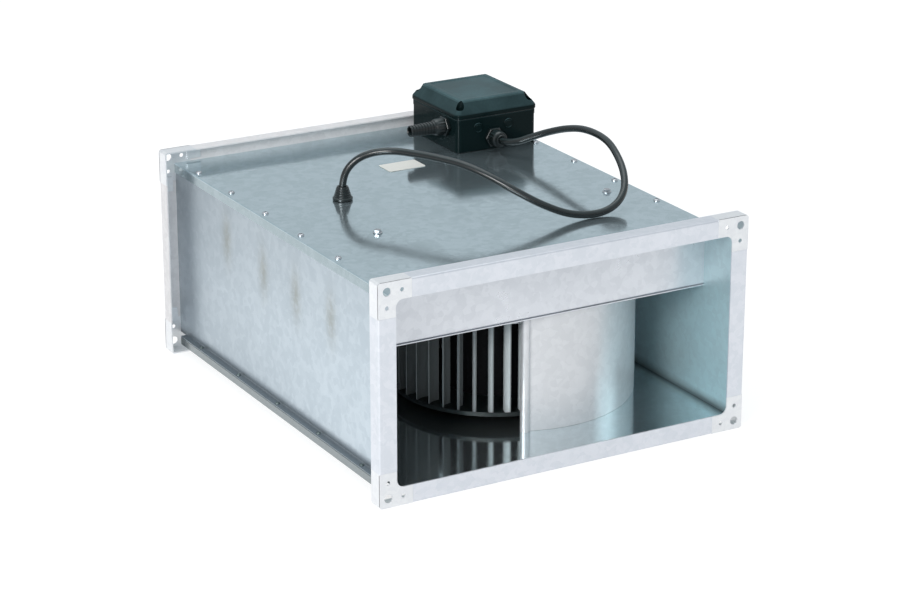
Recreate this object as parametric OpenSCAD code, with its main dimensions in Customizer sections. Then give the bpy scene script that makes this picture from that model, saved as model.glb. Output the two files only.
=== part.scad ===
// Rectangular in-line duct fan: a galvanised casing between two flanges, a forward-curved wheel on a
// vertical external-rotor motor in a scroll, and a terminal box on the cover.
// Millimetres. +Z is up, the outlet faces -Y, the inlet +Y. The origin is under the middle of the casing.

/* [Duct connection] */
// Clear width of the duct that the fan joins
duct_w = 400; // [380:5:520]
// Clear height of the duct that the fan joins
duct_h = 200; // [190:5:260]
// Length from flange face to flange face
body_len = 520; // [500:5:640]
// Width of the flange face round the opening
flange_w = 20; // [18:1:30]
// Thickness of the flange face and rim
flange_t = 1.5; // [1:0.1:2.5]
// Depth of the rim that stiffens the flange's outer edge
rim_d = 18; // [12:1:24]
// Length of a corner piece's legs
corner_leg = 38; // [34:1:60]
// Fillet inside each corner of the opening
corner_fillet = 8; // [4:1:14]
// Diameter of the bolt hole in each corner
bolt_d = 9; // [7:0.5:11]
// Diameter of the screw holes in the corner's legs
leg_hole_d = 4.5; // [3:0.5:6]

/* [Casing sheets] */
// Thickness of the casing sheet
sheet_t = 1; // [0.8:0.1:1.5]
// Height of the cover's turned-down edges
cover_edge = 11; // [8:1:16]
// Width of the side panels' lips under the cover
top_lip = 18; // [15:1:24]
// Width of the side panels' lips on the bottom pan
foot_lip = 8; // [7:1:17]
// Height of the bottom pan's turned-down hems
pan_hem = 9; // [5:1:14]
// Cover screws along each side
cover_screw_n = 6; // [4:1:8]
// Distance of the end cover screws from the flange faces
cover_screw_end = 50; // [44:1:80]
// Shank diameter of the cover screws
cover_screw_d = 4; // [3:0.5:5]
// Rivets along each foot lip
lip_rivet_n = 5; // [3:1:8]
// Diameter of a lip rivet's head
lip_rivet_d = 5; // [4:0.5:6]

/* [Scroll] */
// Distance of the wheel's axis to the right of the middle
axis_right = 22; // [10:1:28]
// Distance of the wheel's axis from the outlet face
axis_back = 187; // [184:1:200]
// Clear height of the scroll
scroll_h = 130; // [126:1:140]
// Distance of the closing panel from the outlet face
panel_back = 50; // [45:1:52]
// Gap between the wheel and the scroll wall at the cut-off
cutoff_gap = 14.5; // [12:0.5:17]
// Radius of the rounded cut-off nose
nose_r = 5; // [4:0.5:6]
// Height of the scroll roof's turned-up side lips
roof_lip = 14; // [8:1:20]

/* [Wheel] */
// Diameter of the impeller over its blades
wheel_d = 225; // [210:1:240]
// Height of the impeller's blades
blade_h = 104; // [96:1:106]
// Radial depth of the blades
blade_depth = 22; // [18:1:23]
// Thickness of a blade
blade_t = 0.8; // [0.6:0.1:1.2]
// Number of blades
blade_n = 38; // [30:1:42]
// Gap between the pan and the impeller
wheel_gap = 12; // [9:1:14]
// Thickness of the back plate and of the top ring
wheel_t = 1.5; // [1:0.1:2]
// Height of the folded rims that hold the blade ends
wheel_rim = 3; // [2:0.5:8]

/* [Inlet ring] */
// Gap between the wheel's top ring and the inlet ring's throat
throat_gap = 4.3; // [3:0.1:8]
// Radius of the rounded mouth
mouth_r = 10; // [8:1:11]
// Width of the flange that is screwed to the scroll roof
ring_flange_w = 12; // [11:1:16]
// Depth of the throat below the scroll roof
throat_drop = 21; // [18:1:24]
// Screws round the inlet ring
ring_screw_n = 8; // [6:1:12]

/* [Motor] */
// Outer radius of the rotor can
rotor_r = 56; // [50:1:58]
// Wall of the rotor can
rotor_wall = 2; // [1.5:0.1:3]
// Height of the rotor can
rotor_h = 80; // [76:1:84]
// Radius of the shaft
shaft_r = 6; // [5:0.5:7]
// Outer radius of the bearings
bearing_r = 14; // [12:0.5:15]
// Width of the bearings
bearing_w = 11; // [8:1:12]
// Air gap between rotor and stator
air_gap = 0.5; // [0.4:0.05:0.8]
// Height of the stator's iron core
core_h = 44; // [36:1:46]
// Radius of the stator flange
motor_flange_r = 52; // [48:1:56]
// Thickness of the stator flange
motor_flange_t = 6; // [5:0.5:8]

/* [Motor support] */
// Width of the support strap
strap_w = 50; // [44:1:56]
// Thickness of the support strap
strap_t = 3; // [2:0.5:4]
// Distance between the strap's two cover screws
strap_span = 284; // [280:2:304]
// Height of the strap's shoulders above the scroll roof
strap_clear = 8; // [5:1:14]

/* [Terminal box] */
// Width of the box across the fan
box_w = 104; // [96:1:106]
// Depth of the box along the fan
box_d = 108; // [98:1:110]
// Height of the base
box_h = 39; // [36:1:46]
// Height of the lid
lid_h = 19; // [16:1:26]
// Wall of base and lid
box_wall = 2.5; // [2:0.1:3]
// Distance of the box from the cover's right edge
box_side = 5; // [4:1:20]
// Distance of the box from the inlet flange's face
box_rear = 21; // [20:1:40]
// Thickness of the lid's gasket
gasket_t = 1; // [0.6:0.1:1.5]
// How far the lid's top is drawn in on each side
lid_draw = 9; // [6:1:12]
// Diameter of the lid screws
lid_screw_d = 3.5; // [3:0.25:4]

/* [Glands and cable] */
// Diameter of the motor cable
cable_d = 8; // [7:0.1:9]
// Diameter of the cable that the mains gland takes
mains_d = 10; // [8:0.5:11]
// Radius of a gland's thread
gland_thread_r = 8.5; // [8:0.25:9.5]
// Length of the mains gland outside the box
mains_gland_len = 48; // [30:1:56]
// Length of the motor cable's gland outside the box
motor_gland_len = 20; // [18:1:30]

/* [Hidden] */
$fn = 64;

// Overshoot of a cut beyond the faces it passes
over = 1;
// Clearance of a screw in its hole, on the radius
hole_gap = 0.2;
// Clearance between round pieces of one body that fit into each other
seat_gap = 0.02;
// Running clearance of the shaft in its bearings
run_gap = 0.03;
// Clearance between pieces that pass close by without touching
near_gap = 0.3;
// How far screw shanks reach past what they hold
screw_past = 4;

// Colours
galvanised = [0.74, 0.78, 0.81];
bright_zinc = [0.86, 0.88, 0.90];
dark_steel = [0.30, 0.31, 0.33];
plain_steel = [0.62, 0.63, 0.65];
black_plastic = [0.09, 0.10, 0.10];
black_rubber = [0.06, 0.06, 0.06];
copper = [0.72, 0.43, 0.22];
cream = [0.90, 0.88, 0.80];
brass = [0.78, 0.64, 0.32];

// Casing planes
half_w = duct_w / 2;
half_len = body_len / 2;
out_w = duct_w + 2 * flange_w;
out_h = duct_h + 2 * flange_w;
end_y = half_len - flange_t;
floor_z = flange_w;
lip_z = flange_w + duct_h;
cover_z = lip_z + sheet_t;
top_z = cover_z + sheet_t;
panel_x = half_w + sheet_t;
cover_x = panel_x + sheet_t;
lip_end_y = half_len - rim_d - near_gap;
pan_x = panel_x + foot_lip;

// Heads of the pan-head screws, by shank size
small_head_r = 3.5;
small_head_h = 2.2;
middle_head_r = 4.5;
middle_head_h = 3;
large_head_r = 5;
large_head_h = 3.5;

// Cover screws
cover_screw_in = 8;
cover_screw_x = cover_x - cover_screw_in;
cover_screw_pitch = (body_len - 2 * cover_screw_end) / (cover_screw_n - 1);
cover_screw_y = [for (i = [0:cover_screw_n - 1]) cover_screw_end - half_len + i * cover_screw_pitch];

// Foot-lip rivets
lip_rivet_x = panel_x + foot_lip / 2;
lip_rivet_y = [for (i = [0:lip_rivet_n - 1]) (2 * (i + 0.5) / lip_rivet_n - 1) * lip_end_y];
lip_rivet_h = 1.6;

// Wheel in plan
wheel_r = wheel_d / 2;
eye_r = wheel_r - blade_depth;
ring_lap = 1;

// Scroll
axis_x = axis_right;
cutoff_r = wheel_r + cutoff_gap;
axis_y = axis_back - half_len;
roof_z0 = floor_z + scroll_h;
roof_z1 = roof_z0 + sheet_t;
panel_y = panel_back - half_len;
panel_bend = 3;
panel_lip = 14;
panel_notch = 2;
cutoff_deg = -103.5;
wall_end_deg = 180;
wall_end_r = half_w + axis_x - sheet_t;
wall_steps = 96;
wall_tail = 20;
baffle_deg = 5;
baffle_lip = 14;
rear_deg = 90;
roof_margin = 8;
roof_rear_y = axis_y + scroll_r(rear_deg) + sheet_t + roof_margin;

// Radius of the scroll wall's inner face at an angle round the axis
function scroll_r(a) =
    cutoff_r + (wall_end_r - cutoff_r) * (a - cutoff_deg) / (wall_end_deg - cutoff_deg);

// A point in plan at a radius and an angle
function polar(r, a) = [r * cos(a), r * sin(a)];

// Wheel and motor heights
plate_z0 = floor_z + wheel_gap;
plate_z1 = plate_z0 + wheel_t;
blade_z1 = plate_z1 + blade_h;
ring_z1 = blade_z1 + wheel_t;
rim_r0 = wheel_r + 0.2;
rim_r1 = rim_r0 + wheel_t / 2;
can_floor = 3;
can_z1 = plate_z1 + rotor_h;
hub_r = shaft_r + 6;
hub_h = 10;
tube_r = bearing_r + 2.5;
tube_z0 = plate_z1 + can_floor + hub_h + 1.5;
flange_z0 = can_z1 + 4;
flange_z1 = flange_z0 + motor_flange_t;
upper_bearing_z0 = flange_z1 - 2 - bearing_w;
clip_z0 = flange_z1 - 2 + 0.05;
clip_t = 1.2;
clip_r = shaft_r + 3;
clip_groove = 1;
cage_t = 8;
core_r = rotor_r - rotor_wall - cage_t - air_gap;
core_z0 = (tube_z0 + flange_z0) / 2 - core_h / 2;
winding_r0 = tube_r + 3;
winding_r1 = core_r - 4;
winding_low = tube_z0 + 1;
winding_high = flange_z0 - 4;
impeller_screw_r = (hub_r + rotor_r) / 2;
impeller_screw_d = 5;
lead_y = 38;
lead_bush_r = cable_d / 2 + 3;
lead_bush_h = 8;

// Sheet of the inlet ring
ring_t = 1.2;

// Motor support strap
seat_half = motor_flange_r + 8;
shoulder_z = roof_z1 + ring_t + strap_clear;
foot_half = min(strap_span / 2 + 10, panel_x - top_lip - near_gap - axis_x);
leg_half = strap_span / 2 - 15;
flange_screw_d = 5;
flange_screw_x = 38;
flange_screw_y = 15;
support_screw_d = 6;

// Inlet ring
throat_r = eye_r - ring_lap - throat_gap - ring_t;
ring_mouth_r = throat_r + mouth_r;
ring_flange_r = ring_mouth_r + ring_flange_w;
ring_screw_r = (ring_mouth_r + ring_flange_r) / 2 + 1;
ring_screw_d = 4;
roof_hole_r = ring_mouth_r + 1;

// Terminal box
box_x = cover_x - box_side - box_w / 2;
box_y = half_len - box_rear - box_d / 2;
box_round = 6;
rim_z = top_z + box_h;
lid_z0 = rim_z + gasket_t;
lid_z1 = lid_z0 + lid_h;
lid_over = 1.5;
lid_skirt = 4;
post_r = 5.5;
post_inset = 7;
post_x = box_w / 2 - post_inset;
post_y = box_d / 2 - post_inset;
lid_cut = 4;
well_r = 4.5;
well_wall_r = 6.6;
well_z = lid_z0 + 5;
box_screw_d = 4;
box_screw_x = box_w / 2 - 20;
box_screw_y = box_d / 2 - 12;
lid_screw_len = 22;
corner_signs = [[-1, -1], [1, -1], [1, 1], [-1, 1]];

// What lies in the box: a six-pole block and a run capacitor in its clip on the floor, and the earth stud
block_w = 46;
block_d = 20;
block_h = 16;
block_poles = 6;
block_right = 8;
block_gap = 4;
pole_pitch = block_w / block_poles;
pole_r = 2;
pole_depth = 5;
pole_screw_h = 4;
can_r = 13;
can_len = 52;
can_right = 2;
can_back = 8;
clip_w = 12;
clip_wall = 1.5;
stud_in = 18;
stud_front = 8;
inside_z = top_z + box_wall;
can_x = box_x + can_right;
can_y = box_y + box_d / 2 - box_wall - can_back - can_r;
block_x = box_x + block_right;
block_y = can_y - can_r - clip_wall - block_gap - block_d / 2;

// Bare plate on the cover, to the left of the box
plate_w = 46;
plate_d = 28;
plate_t = 0.5;
plate_left = 54;
plate_front = 9;
plate_x = box_x - box_w / 2 - plate_left - plate_w / 2;
plate_y = box_y - box_d / 2 - plate_front;

// Grommet, where the motor cable comes through the cover
grommet_x = -99;
grommet_y = 46;
grommet_neck_r = 8;
grommet_base_r = 11;
grommet_tip_r = 6.5;
grommet_lip = 3;
grommet_h = 15;
grommet_gap = 0.4;
cable_hole_r = cable_d / 2 + 0.1;

// Route of the motor cable: out of the motor's flange, up through the grommet, over the cover and
// into the terminal box
cable_route = [
    [22, -35, 116], [22, -35, 132], [22, -35, 149], [18, -32, 167], [8, -26, 179], [-7, -16, 184],
    [-38, 6, 184], [-70, 27, 184], [-85, 37, 189], [-95, 43, 201], [-99, 46, 218], [-99, 46, 237],
    [-95, 44, 254], [-84, 39, 267], [-68, 31, 274], [-51, 16, 277], [-37, -8, 278], [-24, -34, 278],
    [-10, -62, 276], [6, -89, 268], [24, -112, 256], [47, -129, 242], [72, -138, 231], [97, -142, 226.5],
    [119, -142, 227.5], [138, -136, 233], [153, -124, 242], [164, -105, 253], [172, -81, 263],
    [179, -52, 270], [184, -20, 271], [184, 11, 269], [180, 38, 263], [171, 60, 255], [159, 76, 247],
    [148, 89, 240], [141, 105, 236], [140, 120, 236], [140, 135, 236], [140, 150, 236]
];
cable_end = cable_route[len(cable_route) - 1];
cable_sides = 12;
cable_steps = 2;

// Glands. The motor's gland is where the cable enters, with a blank plug on each side above it.
gland_hex_r = 12;
gland_hex_t = 5;
gland_nut_r = 10;
gland_nut_len = 12;
gland_tip_r = 7.5;
gland_tail = 9;
locknut_t = 4;
entry_lift = 27;
motor_gland_x = cable_end[0];
motor_gland_z = cable_end[2];
mains_in = 26;
mains_gland_y = box_y - box_d / 2 + mains_in;
mains_gland_z = top_z + entry_lift;
plug_r = 6;
plug_sink = 1;
plug_apart = 20;
plug_x = [motor_gland_x - plug_apart, motor_gland_x + plug_apart];
plug_z = top_z + entry_lift;

// Whether the terminal box lies over the right-hand cover screw at a place along the casing
function under_box(y) =
    box_x + box_w / 2 + near_gap > cover_screw_x - small_head_r
    && abs(y - box_y) < box_d / 2 + small_head_r + near_gap;

right_screw_y = [for (y = cover_screw_y) if (!under_box(y)) y];

// A place on the smooth curve between the second and third of four route points
function on_curve(p, q, r, s, t) =
    0.5 * (2 * q + (r - p) * t + (2 * p - 5 * q + 4 * r - s) * t * t + (3 * q - p - 3 * r + s) * t * t * t);

// All the places of the cable's rings
function cable_places(route) =
    let (last = len(route) - 1)
    concat(
        [for (i = [0:last - 1]) for (k = [0:cable_steps - 1])
            on_curve(route[max(i - 1, 0)], route[i], route[i + 1], route[min(i + 2, last)], k / cable_steps)],
        [route[last]]);

function unit(v) = v / norm(v);

// Direction of a path at its i-th place
function heading(path, i) = unit(path[min(i + 1, len(path) - 1)] - path[max(i - 1, 0)]);

// Side directions along a path, each turned as little as possible from the one before
function side_ways(path) =
    [for (i = 0, n = unit(cross(heading(path, 0), [0, 1, 0]));
          i < len(path);
          i = i + 1, n = i < len(path) ? unit(n - (n * heading(path, i)) * heading(path, i)) : n) n];

// A round tube swept along a path, as one closed skin of triangles
module swept_tube(path, r, sides) {
    ways = side_ways(path);
    rings = len(path);
    points = [for (i = [0:rings - 1]) for (k = [0:sides - 1])
        let (a = 360 * k / sides, n = ways[i], b = cross(heading(path, i), n))
        path[i] + r * (cos(a) * n + sin(a) * b)];
    walls = [for (i = [0:rings - 2]) for (k = [0:sides - 1])
        let (p = i * sides + k, q = i * sides + (k + 1) % sides)
        each [[p, p + sides, q], [q, p + sides, q + sides]]];
    first = [for (k = [1:sides - 2]) [0, k, k + 1]];
    last = (rings - 1) * sides;
    final = [for (k = [1:sides - 2]) [last, last + k + 1, last + k]];
    polyhedron(points = points, faces = concat(walls, first, final));
}

// A ring between two radii and two heights
module ring(r_out, r_in, z0, z1) {
    translate([0, 0, z0])
        linear_extrude(z1 - z0)
            difference() {
                circle(r_out);
                circle(r_in);
            }
}

// A box given by its lowest and highest corners
module span(low, high) {
    translate(low) cube(high - low);
}

// Moves a piece to the wheel's axis
module on_axis() {
    translate([axis_x, axis_y, 0]) children();
}

// A profile in X and Z, drawn along Y between two places
module along_y(y0, y1) {
    translate([0, y1, 0]) rotate([90, 0, 0]) linear_extrude(y1 - y0) children();
}

// A pan-head screw whose head rests at height z, pointing down
module screw(d, head_r, head_h, len, z) {
    translate([0, 0, z]) cylinder(r = head_r, h = head_h);
    translate([0, 0, z - len]) cylinder(d = d, h = len);
}

// A drilled hole for a screw, down through a sheet between two heights
module drill(d, z0, z1) {
    translate([0, 0, z0 - over]) cylinder(r = d / 2 + hole_gap, h = z1 - z0 + 2 * over);
}

// Places of the cover screws on both sides, with none under the terminal box
module at_cover_screws() {
    for (y = cover_screw_y) translate([-cover_screw_x, y, 0]) children();
    for (y = right_screw_y) translate([cover_screw_x, y, 0]) children();
}

// Places of the two screws that hold the motor support to the cover
module at_support_screws() {
    on_axis() for (s = [-1, 1]) translate([s * strap_span / 2, 0, 0]) children();
}

// Places of the screws that hold the terminal box to the cover
module at_box_screws() {
    translate([box_x, box_y, 0])
        for (s = corner_signs) translate([s[0] * box_screw_x, s[1] * box_screw_y, 0]) children();
}

// Places of the lid screws' posts
module at_box_posts() {
    translate([box_x, box_y, 0])
        for (s = corner_signs) translate([s[0] * post_x, s[1] * post_y, 0]) children();
}

// Places of the four screws that join the motor's flange and the strap
module at_flange_screws() {
    on_axis() for (s = corner_signs)
        translate([s[0] * flange_screw_x, s[1] * flange_screw_y, 0]) children();
}

module at_ring_screws() {
    on_axis() for (i = [0:ring_screw_n - 1])
        rotate([0, 0, (i + 0.5) * 360 / ring_screw_n]) translate([ring_screw_r, 0, 0]) children();
}

// Casing

module top_cover() color(galvanised) {
    difference() {
        union() {
            span([-cover_x, -end_y, cover_z], [cover_x, end_y, top_z]);
            for (s = [0, 1]) mirror([s, 0, 0])
                span([panel_x, -end_y, top_z - cover_edge], [cover_x, end_y, top_z]);
        }
        at_cover_screws() drill(cover_screw_d, cover_z, top_z);
        at_support_screws() drill(support_screw_d, cover_z, top_z);
        at_box_screws() drill(box_screw_d, cover_z, top_z);
        translate([grommet_x, grommet_y, cover_z - over])
            cylinder(r = grommet_neck_r + seat_gap, h = sheet_t + 2 * over);
    }
}

// A side panel as it stands on the right, drilled for screws at the given places along it
module side_panel(screw_y) color(galvanised) {
    difference() {
        union() {
            span([half_w, -end_y, floor_z], [panel_x, end_y, cover_z]);
            span([panel_x - top_lip, -end_y, lip_z], [panel_x, end_y, cover_z]);
            span([half_w, -lip_end_y, floor_z], [panel_x + foot_lip, lip_end_y, floor_z + sheet_t]);
        }
        for (y = screw_y) translate([cover_screw_x, y, 0]) drill(cover_screw_d, lip_z, cover_z);
    }
}

module left_side_panel() mirror([1, 0, 0]) side_panel(cover_screw_y);

module right_side_panel() side_panel(right_screw_y);

module bottom_pan() color(galvanised) {
    span([-panel_x, -end_y, floor_z - sheet_t], [panel_x, end_y, floor_z]);
    for (s = [0, 1]) mirror([s, 0, 0]) {
        span([half_w, -lip_end_y, floor_z - sheet_t], [pan_x, lip_end_y, floor_z]);
        span([pan_x - sheet_t, -lip_end_y, floor_z - pan_hem], [pan_x, lip_end_y, floor_z]);
    }
}

module lip_rivets() color(plain_steel) {
    for (s = [-1, 1]) for (y = lip_rivet_y)
        translate([s * lip_rivet_x, y, floor_z + sheet_t]) cylinder(d = lip_rivet_d, h = lip_rivet_h);
}

module cover_screws() color(plain_steel) {
    at_cover_screws()
        screw(cover_screw_d, small_head_r, small_head_h, 2 * sheet_t + screw_past, top_z);
}

// A bare plate where a maker would put the ratings
module rating_plate() color(cream) {
    translate([plate_x, plate_y, top_z]) linear_extrude(plate_t) square([plate_w, plate_d], center = true);
}

// Flanges. A flange is drawn on the outlet and mirrored to the inlet.

// A straight rail, its face towards -Y and its rim along the outer edge at z = 0, between two places in X
module rail(x0, x1) {
    color(galvanised) {
        span([x0, -half_len, 0], [x1, flange_t - half_len, flange_w]);
        span([x0, -half_len, 0], [x1, rim_d - half_len, flange_t]);
    }
}

module level_rail() rail(corner_leg - out_w / 2, out_w / 2 - corner_leg);

// An upright rail stands on the left, with its rim on the left edge
module upright_rail() {
    translate([-out_w / 2, 0, 0]) rotate([0, 90, 0]) rail(corner_leg - out_h, -corner_leg);
}

module outlet_rail_bottom() level_rail();
module outlet_rail_top() translate([0, 0, out_h]) mirror([0, 0, 1]) level_rail();
module outlet_rail_left() upright_rail();
module outlet_rail_right() mirror([1, 0, 0]) upright_rail();
module inlet_rail_bottom() mirror([0, 1, 0]) outlet_rail_bottom();
module inlet_rail_top() mirror([0, 1, 0]) outlet_rail_top();
module inlet_rail_left() mirror([0, 1, 0]) outlet_rail_left();
module inlet_rail_right() mirror([0, 1, 0]) outlet_rail_right();

// The L-shaped face of a corner piece, drawn from its outer corner along +X and +Y
module corner_face() {
    difference() {
        union() {
            square([corner_leg, flange_w]);
            square([flange_w, corner_leg]);
            translate([flange_w, flange_w]) difference() {
                square(corner_fillet);
                translate([corner_fillet, corner_fillet]) circle(corner_fillet);
            }
        }
        translate([flange_w / 2, flange_w / 2]) circle(d = bolt_d);
        translate([corner_leg - 11, flange_w / 2]) circle(d = leg_hole_d);
        translate([flange_w / 2, corner_leg - 11]) circle(d = leg_hole_d);
    }
}

// One corner piece at the lower left of the outlet: face, rims, and tongues behind the rails' faces
module corner_piece() {
    tongue_w = flange_w - flange_t - 7;
    tongue_l = 12;
    translate([-out_w / 2, flange_t - half_len, 0]) rotate([90, 0, 0]) {
        linear_extrude(flange_t) corner_face();
        translate([0, 0, flange_t - rim_d]) linear_extrude(rim_d) {
            square([corner_leg, flange_t]);
            square([flange_t, corner_leg]);
        }
        translate([0, 0, -flange_t]) linear_extrude(flange_t) {
            translate([corner_leg - 5, flange_t + 2]) square([tongue_l + 5, tongue_w]);
            translate([flange_t + 2, corner_leg - 5]) square([tongue_w, tongue_l + 5]);
        }
    }
}

module outlet_corners() color(bright_zinc) {
    for (sx = [0, 1]) mirror([sx, 0, 0]) {
        corner_piece();
        translate([0, 0, out_h]) mirror([0, 0, 1]) corner_piece();
    }
}

module inlet_corners() mirror([0, 1, 0]) outlet_corners();

// Scroll

// The upright panel above the outlet, with a round bend into a lip on the scroll roof. Its upper corners
// are notched round the side panels' lips and screws.
module closing_panel() color(bright_zinc) {
    bend_in = panel_bend - sheet_t;
    tab_x = panel_x - top_lip - near_gap;
    notch_z = lip_z - screw_past - panel_notch;
    translate([-half_w, 0, 0]) rotate([90, 0, 90]) linear_extrude(duct_w) {
        translate([panel_y, roof_z1 + panel_bend]) square([sheet_t, notch_z - roof_z1 - panel_bend]);
        translate([panel_y + panel_bend, roof_z1]) square([panel_lip - panel_bend, sheet_t]);
        translate([panel_y + panel_bend, roof_z1 + panel_bend]) difference() {
            circle(panel_bend);
            circle(bend_in);
            translate([0, -2 * panel_bend]) square(4 * panel_bend);
            translate([-2 * panel_bend, 0]) square(4 * panel_bend);
        }
    }
    span([-tab_x, panel_y, notch_z], [tab_x, panel_y + sheet_t, cover_z]);
    span([-tab_x, panel_y, lip_z], [tab_x, panel_y + panel_lip, cover_z]);
}

// The plate that divides the suction chamber from the scroll, welded to the side panels by its lips
module scroll_roof() color(galvanised) {
    difference() {
        union() {
            span([-half_w, panel_y, roof_z0], [half_w, roof_rear_y, roof_z1]);
            for (s = [0, 1]) mirror([s, 0, 0])
                span([half_w - sheet_t, panel_y + panel_lip + near_gap, roof_z0],
                     [half_w, roof_rear_y, roof_z1 + roof_lip]);
        }
        on_axis() translate([0, 0, roof_z0 - over])
            cylinder(r = roof_hole_r, h = sheet_t + 2 * over, $fn = 128);
        at_ring_screws() drill(ring_screw_d, roof_z0, roof_z1);
    }
}

// The spiral wall, from the cut-off round to the left side panel
module scroll_wall() color(bright_zinc) {
    angles = [for (i = [0:wall_steps]) cutoff_deg + (wall_end_deg - cutoff_deg) * i / wall_steps];
    inner = [for (a = angles) polar(scroll_r(a), a)];
    outer = [for (a = angles) polar(scroll_r(a) + sheet_t, a)];
    tail = [[-wall_end_r, -wall_tail], [-wall_end_r - sheet_t, -wall_tail]];
    back = [for (i = [len(outer) - 1:-1:0]) outer[i]];
    on_axis() translate([0, 0, floor_z]) linear_extrude(scroll_h) polygon(concat(inner, tail, back));
}

// The rounded nose where the scroll begins
module cutoff_nose() color(bright_zinc) {
    nose_mid_r = cutoff_r + sheet_t / 2;
    nose_deg = cutoff_deg - 2 * asin((nose_r + seat_gap) / (2 * nose_mid_r));
    on_axis() translate(polar(nose_mid_r, nose_deg)) ring(nose_r, nose_r - sheet_t, floor_z, roof_z0);
}

// The strip that closes the dead space between the scroll and the right side panel
module side_baffle() color(galvanised) {
    touch = [axis_x, axis_y] + polar(scroll_r(baffle_deg) + sheet_t, baffle_deg);
    span([touch[0] + near_gap, touch[1], floor_z], [half_w, touch[1] + sheet_t, roof_z0]);
    span([half_w - sheet_t, touch[1], floor_z], [half_w, touch[1] + baffle_lip, roof_z0]);
}

// The rounded inlet over the wheel's eye
module inlet_ring() color(bright_zinc) {
    curve_z = roof_z1 + ring_t - mouth_r;
    on_axis() difference() {
        rotate_extrude($fn = 128) {
            translate([ring_mouth_r, roof_z1]) square([ring_flange_r - ring_mouth_r, ring_t]);
            translate([ring_mouth_r, curve_z]) difference() {
                circle(mouth_r);
                circle(mouth_r - ring_t);
                translate([0, -2 * mouth_r]) square(4 * mouth_r);
                translate([-2 * mouth_r, -4 * mouth_r]) square(4 * mouth_r);
            }
            translate([throat_r, roof_z0 - throat_drop]) square([ring_t, curve_z - roof_z0 + throat_drop]);
        }
        translate([-axis_x, -axis_y, 0]) at_ring_screws() drill(ring_screw_d, roof_z1, roof_z1 + ring_t);
    }
}

module inlet_ring_screws() color(plain_steel) {
    at_ring_screws() screw(ring_screw_d, small_head_r, small_head_h, ring_t + sheet_t + screw_past, roof_z1 + ring_t);
}

// Wheel

module impeller_back_plate() color(galvanised) {
    on_axis() difference() {
        union() {
            ring(rim_r1, shaft_r + hole_gap, plate_z0, plate_z1);
            ring(rim_r1, rim_r0, plate_z0, plate_z1 + wheel_rim);
        }
        at_impeller_screws() drill(impeller_screw_d, plate_z0, plate_z1);
    }
}

module at_impeller_screws() {
    for (a = [45:90:315]) rotate([0, 0, a]) translate([impeller_screw_r, 0, 0]) children();
}

// One forward-curved blade in plan: an arc from the wheel's eye to its rim, leaning into the turn
module blade() {
    arc_r = blade_depth * 0.8;
    sweep = 75;
    steps = 8;
    start = -125;
    mid = [for (i = [0:steps]) start + sweep * i / steps];
    chord = polar(arc_r, start + sweep) - polar(arc_r, start);
    fit = (blade_depth - 0.6) / norm(chord);
    lean = atan2(chord[1], chord[0]);
    translate([eye_r + 0.2, 0]) rotate(-lean + 12)
        polygon(concat(
            [for (a = mid) fit * (polar(arc_r, a) - polar(arc_r, start))],
            [for (i = [steps:-1:0]) fit * (polar(arc_r, mid[i]) - polar(arc_r, start))
                + polar(blade_t, mid[i] + 180)]));
}

module impeller_blades() color(bright_zinc) {
    on_axis() translate([0, 0, plate_z1]) linear_extrude(blade_h)
        for (i = [0:blade_n - 1]) rotate(360 * i / blade_n) blade();
}

module impeller_top_ring() color(galvanised) {
    on_axis() {
        ring(rim_r1, eye_r - ring_lap, blade_z1, ring_z1);
        ring(rim_r1, rim_r0, ring_z1 - wheel_rim, ring_z1);
    }
}

module impeller_screws() color(plain_steel) {
    on_axis() at_impeller_screws() mirror([0, 0, 1])
        screw(impeller_screw_d, middle_head_r, middle_head_h, wheel_t + can_floor, -plate_z0);
}

// Motor

module rotor_can() color(dark_steel) {
    on_axis() difference() {
        union() {
            translate([0, 0, plate_z1]) cylinder(r = rotor_r, h = can_floor);
            ring(rotor_r, rotor_r - rotor_wall, plate_z1, can_z1);
            translate([0, 0, plate_z1]) cylinder(r = hub_r, h = can_floor + hub_h);
        }
        translate([0, 0, plate_z1 - over])
            cylinder(r = shaft_r + seat_gap, h = can_floor + hub_h + 2 * over);
        at_impeller_screws() drill(impeller_screw_d, plate_z1, plate_z1 + can_floor);
    }
}

module rotor_cage() color(plain_steel) {
    cage_r = rotor_r - rotor_wall - seat_gap;
    on_axis() ring(cage_r, rotor_r - rotor_wall - cage_t, core_z0 - 2, core_z0 + core_h + 2);
}

module motor_shaft() color(plain_steel) {
    on_axis() difference() {
        translate([0, 0, plate_z0]) cylinder(r = shaft_r, h = flange_z1 - plate_z0);
        ring(shaft_r + over, shaft_r - clip_groove, clip_z0, clip_z0 + clip_t);
    }
}

module shaft_circlip() color(dark_steel) {
    on_axis() ring(clip_r, shaft_r - clip_groove + seat_gap, clip_z0, clip_z0 + clip_t);
}

module bearing(z0) {
    color(plain_steel) on_axis() ring(bearing_r - seat_gap, shaft_r + run_gap, z0, z0 + bearing_w);
}

module lower_bearing() bearing(tube_z0);

module upper_bearing() bearing(upper_bearing_z0);

module stator_core() color(plain_steel) {
    on_axis() ring(core_r, tube_r + seat_gap, core_z0, core_z0 + core_h);
}

// The copper coil heads above and below the core
module stator_windings() color(copper) {
    on_axis() {
        ring(winding_r1, winding_r0, winding_low, core_z0);
        ring(winding_r1, winding_r0, core_z0 + core_h, winding_high);
    }
}

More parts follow.
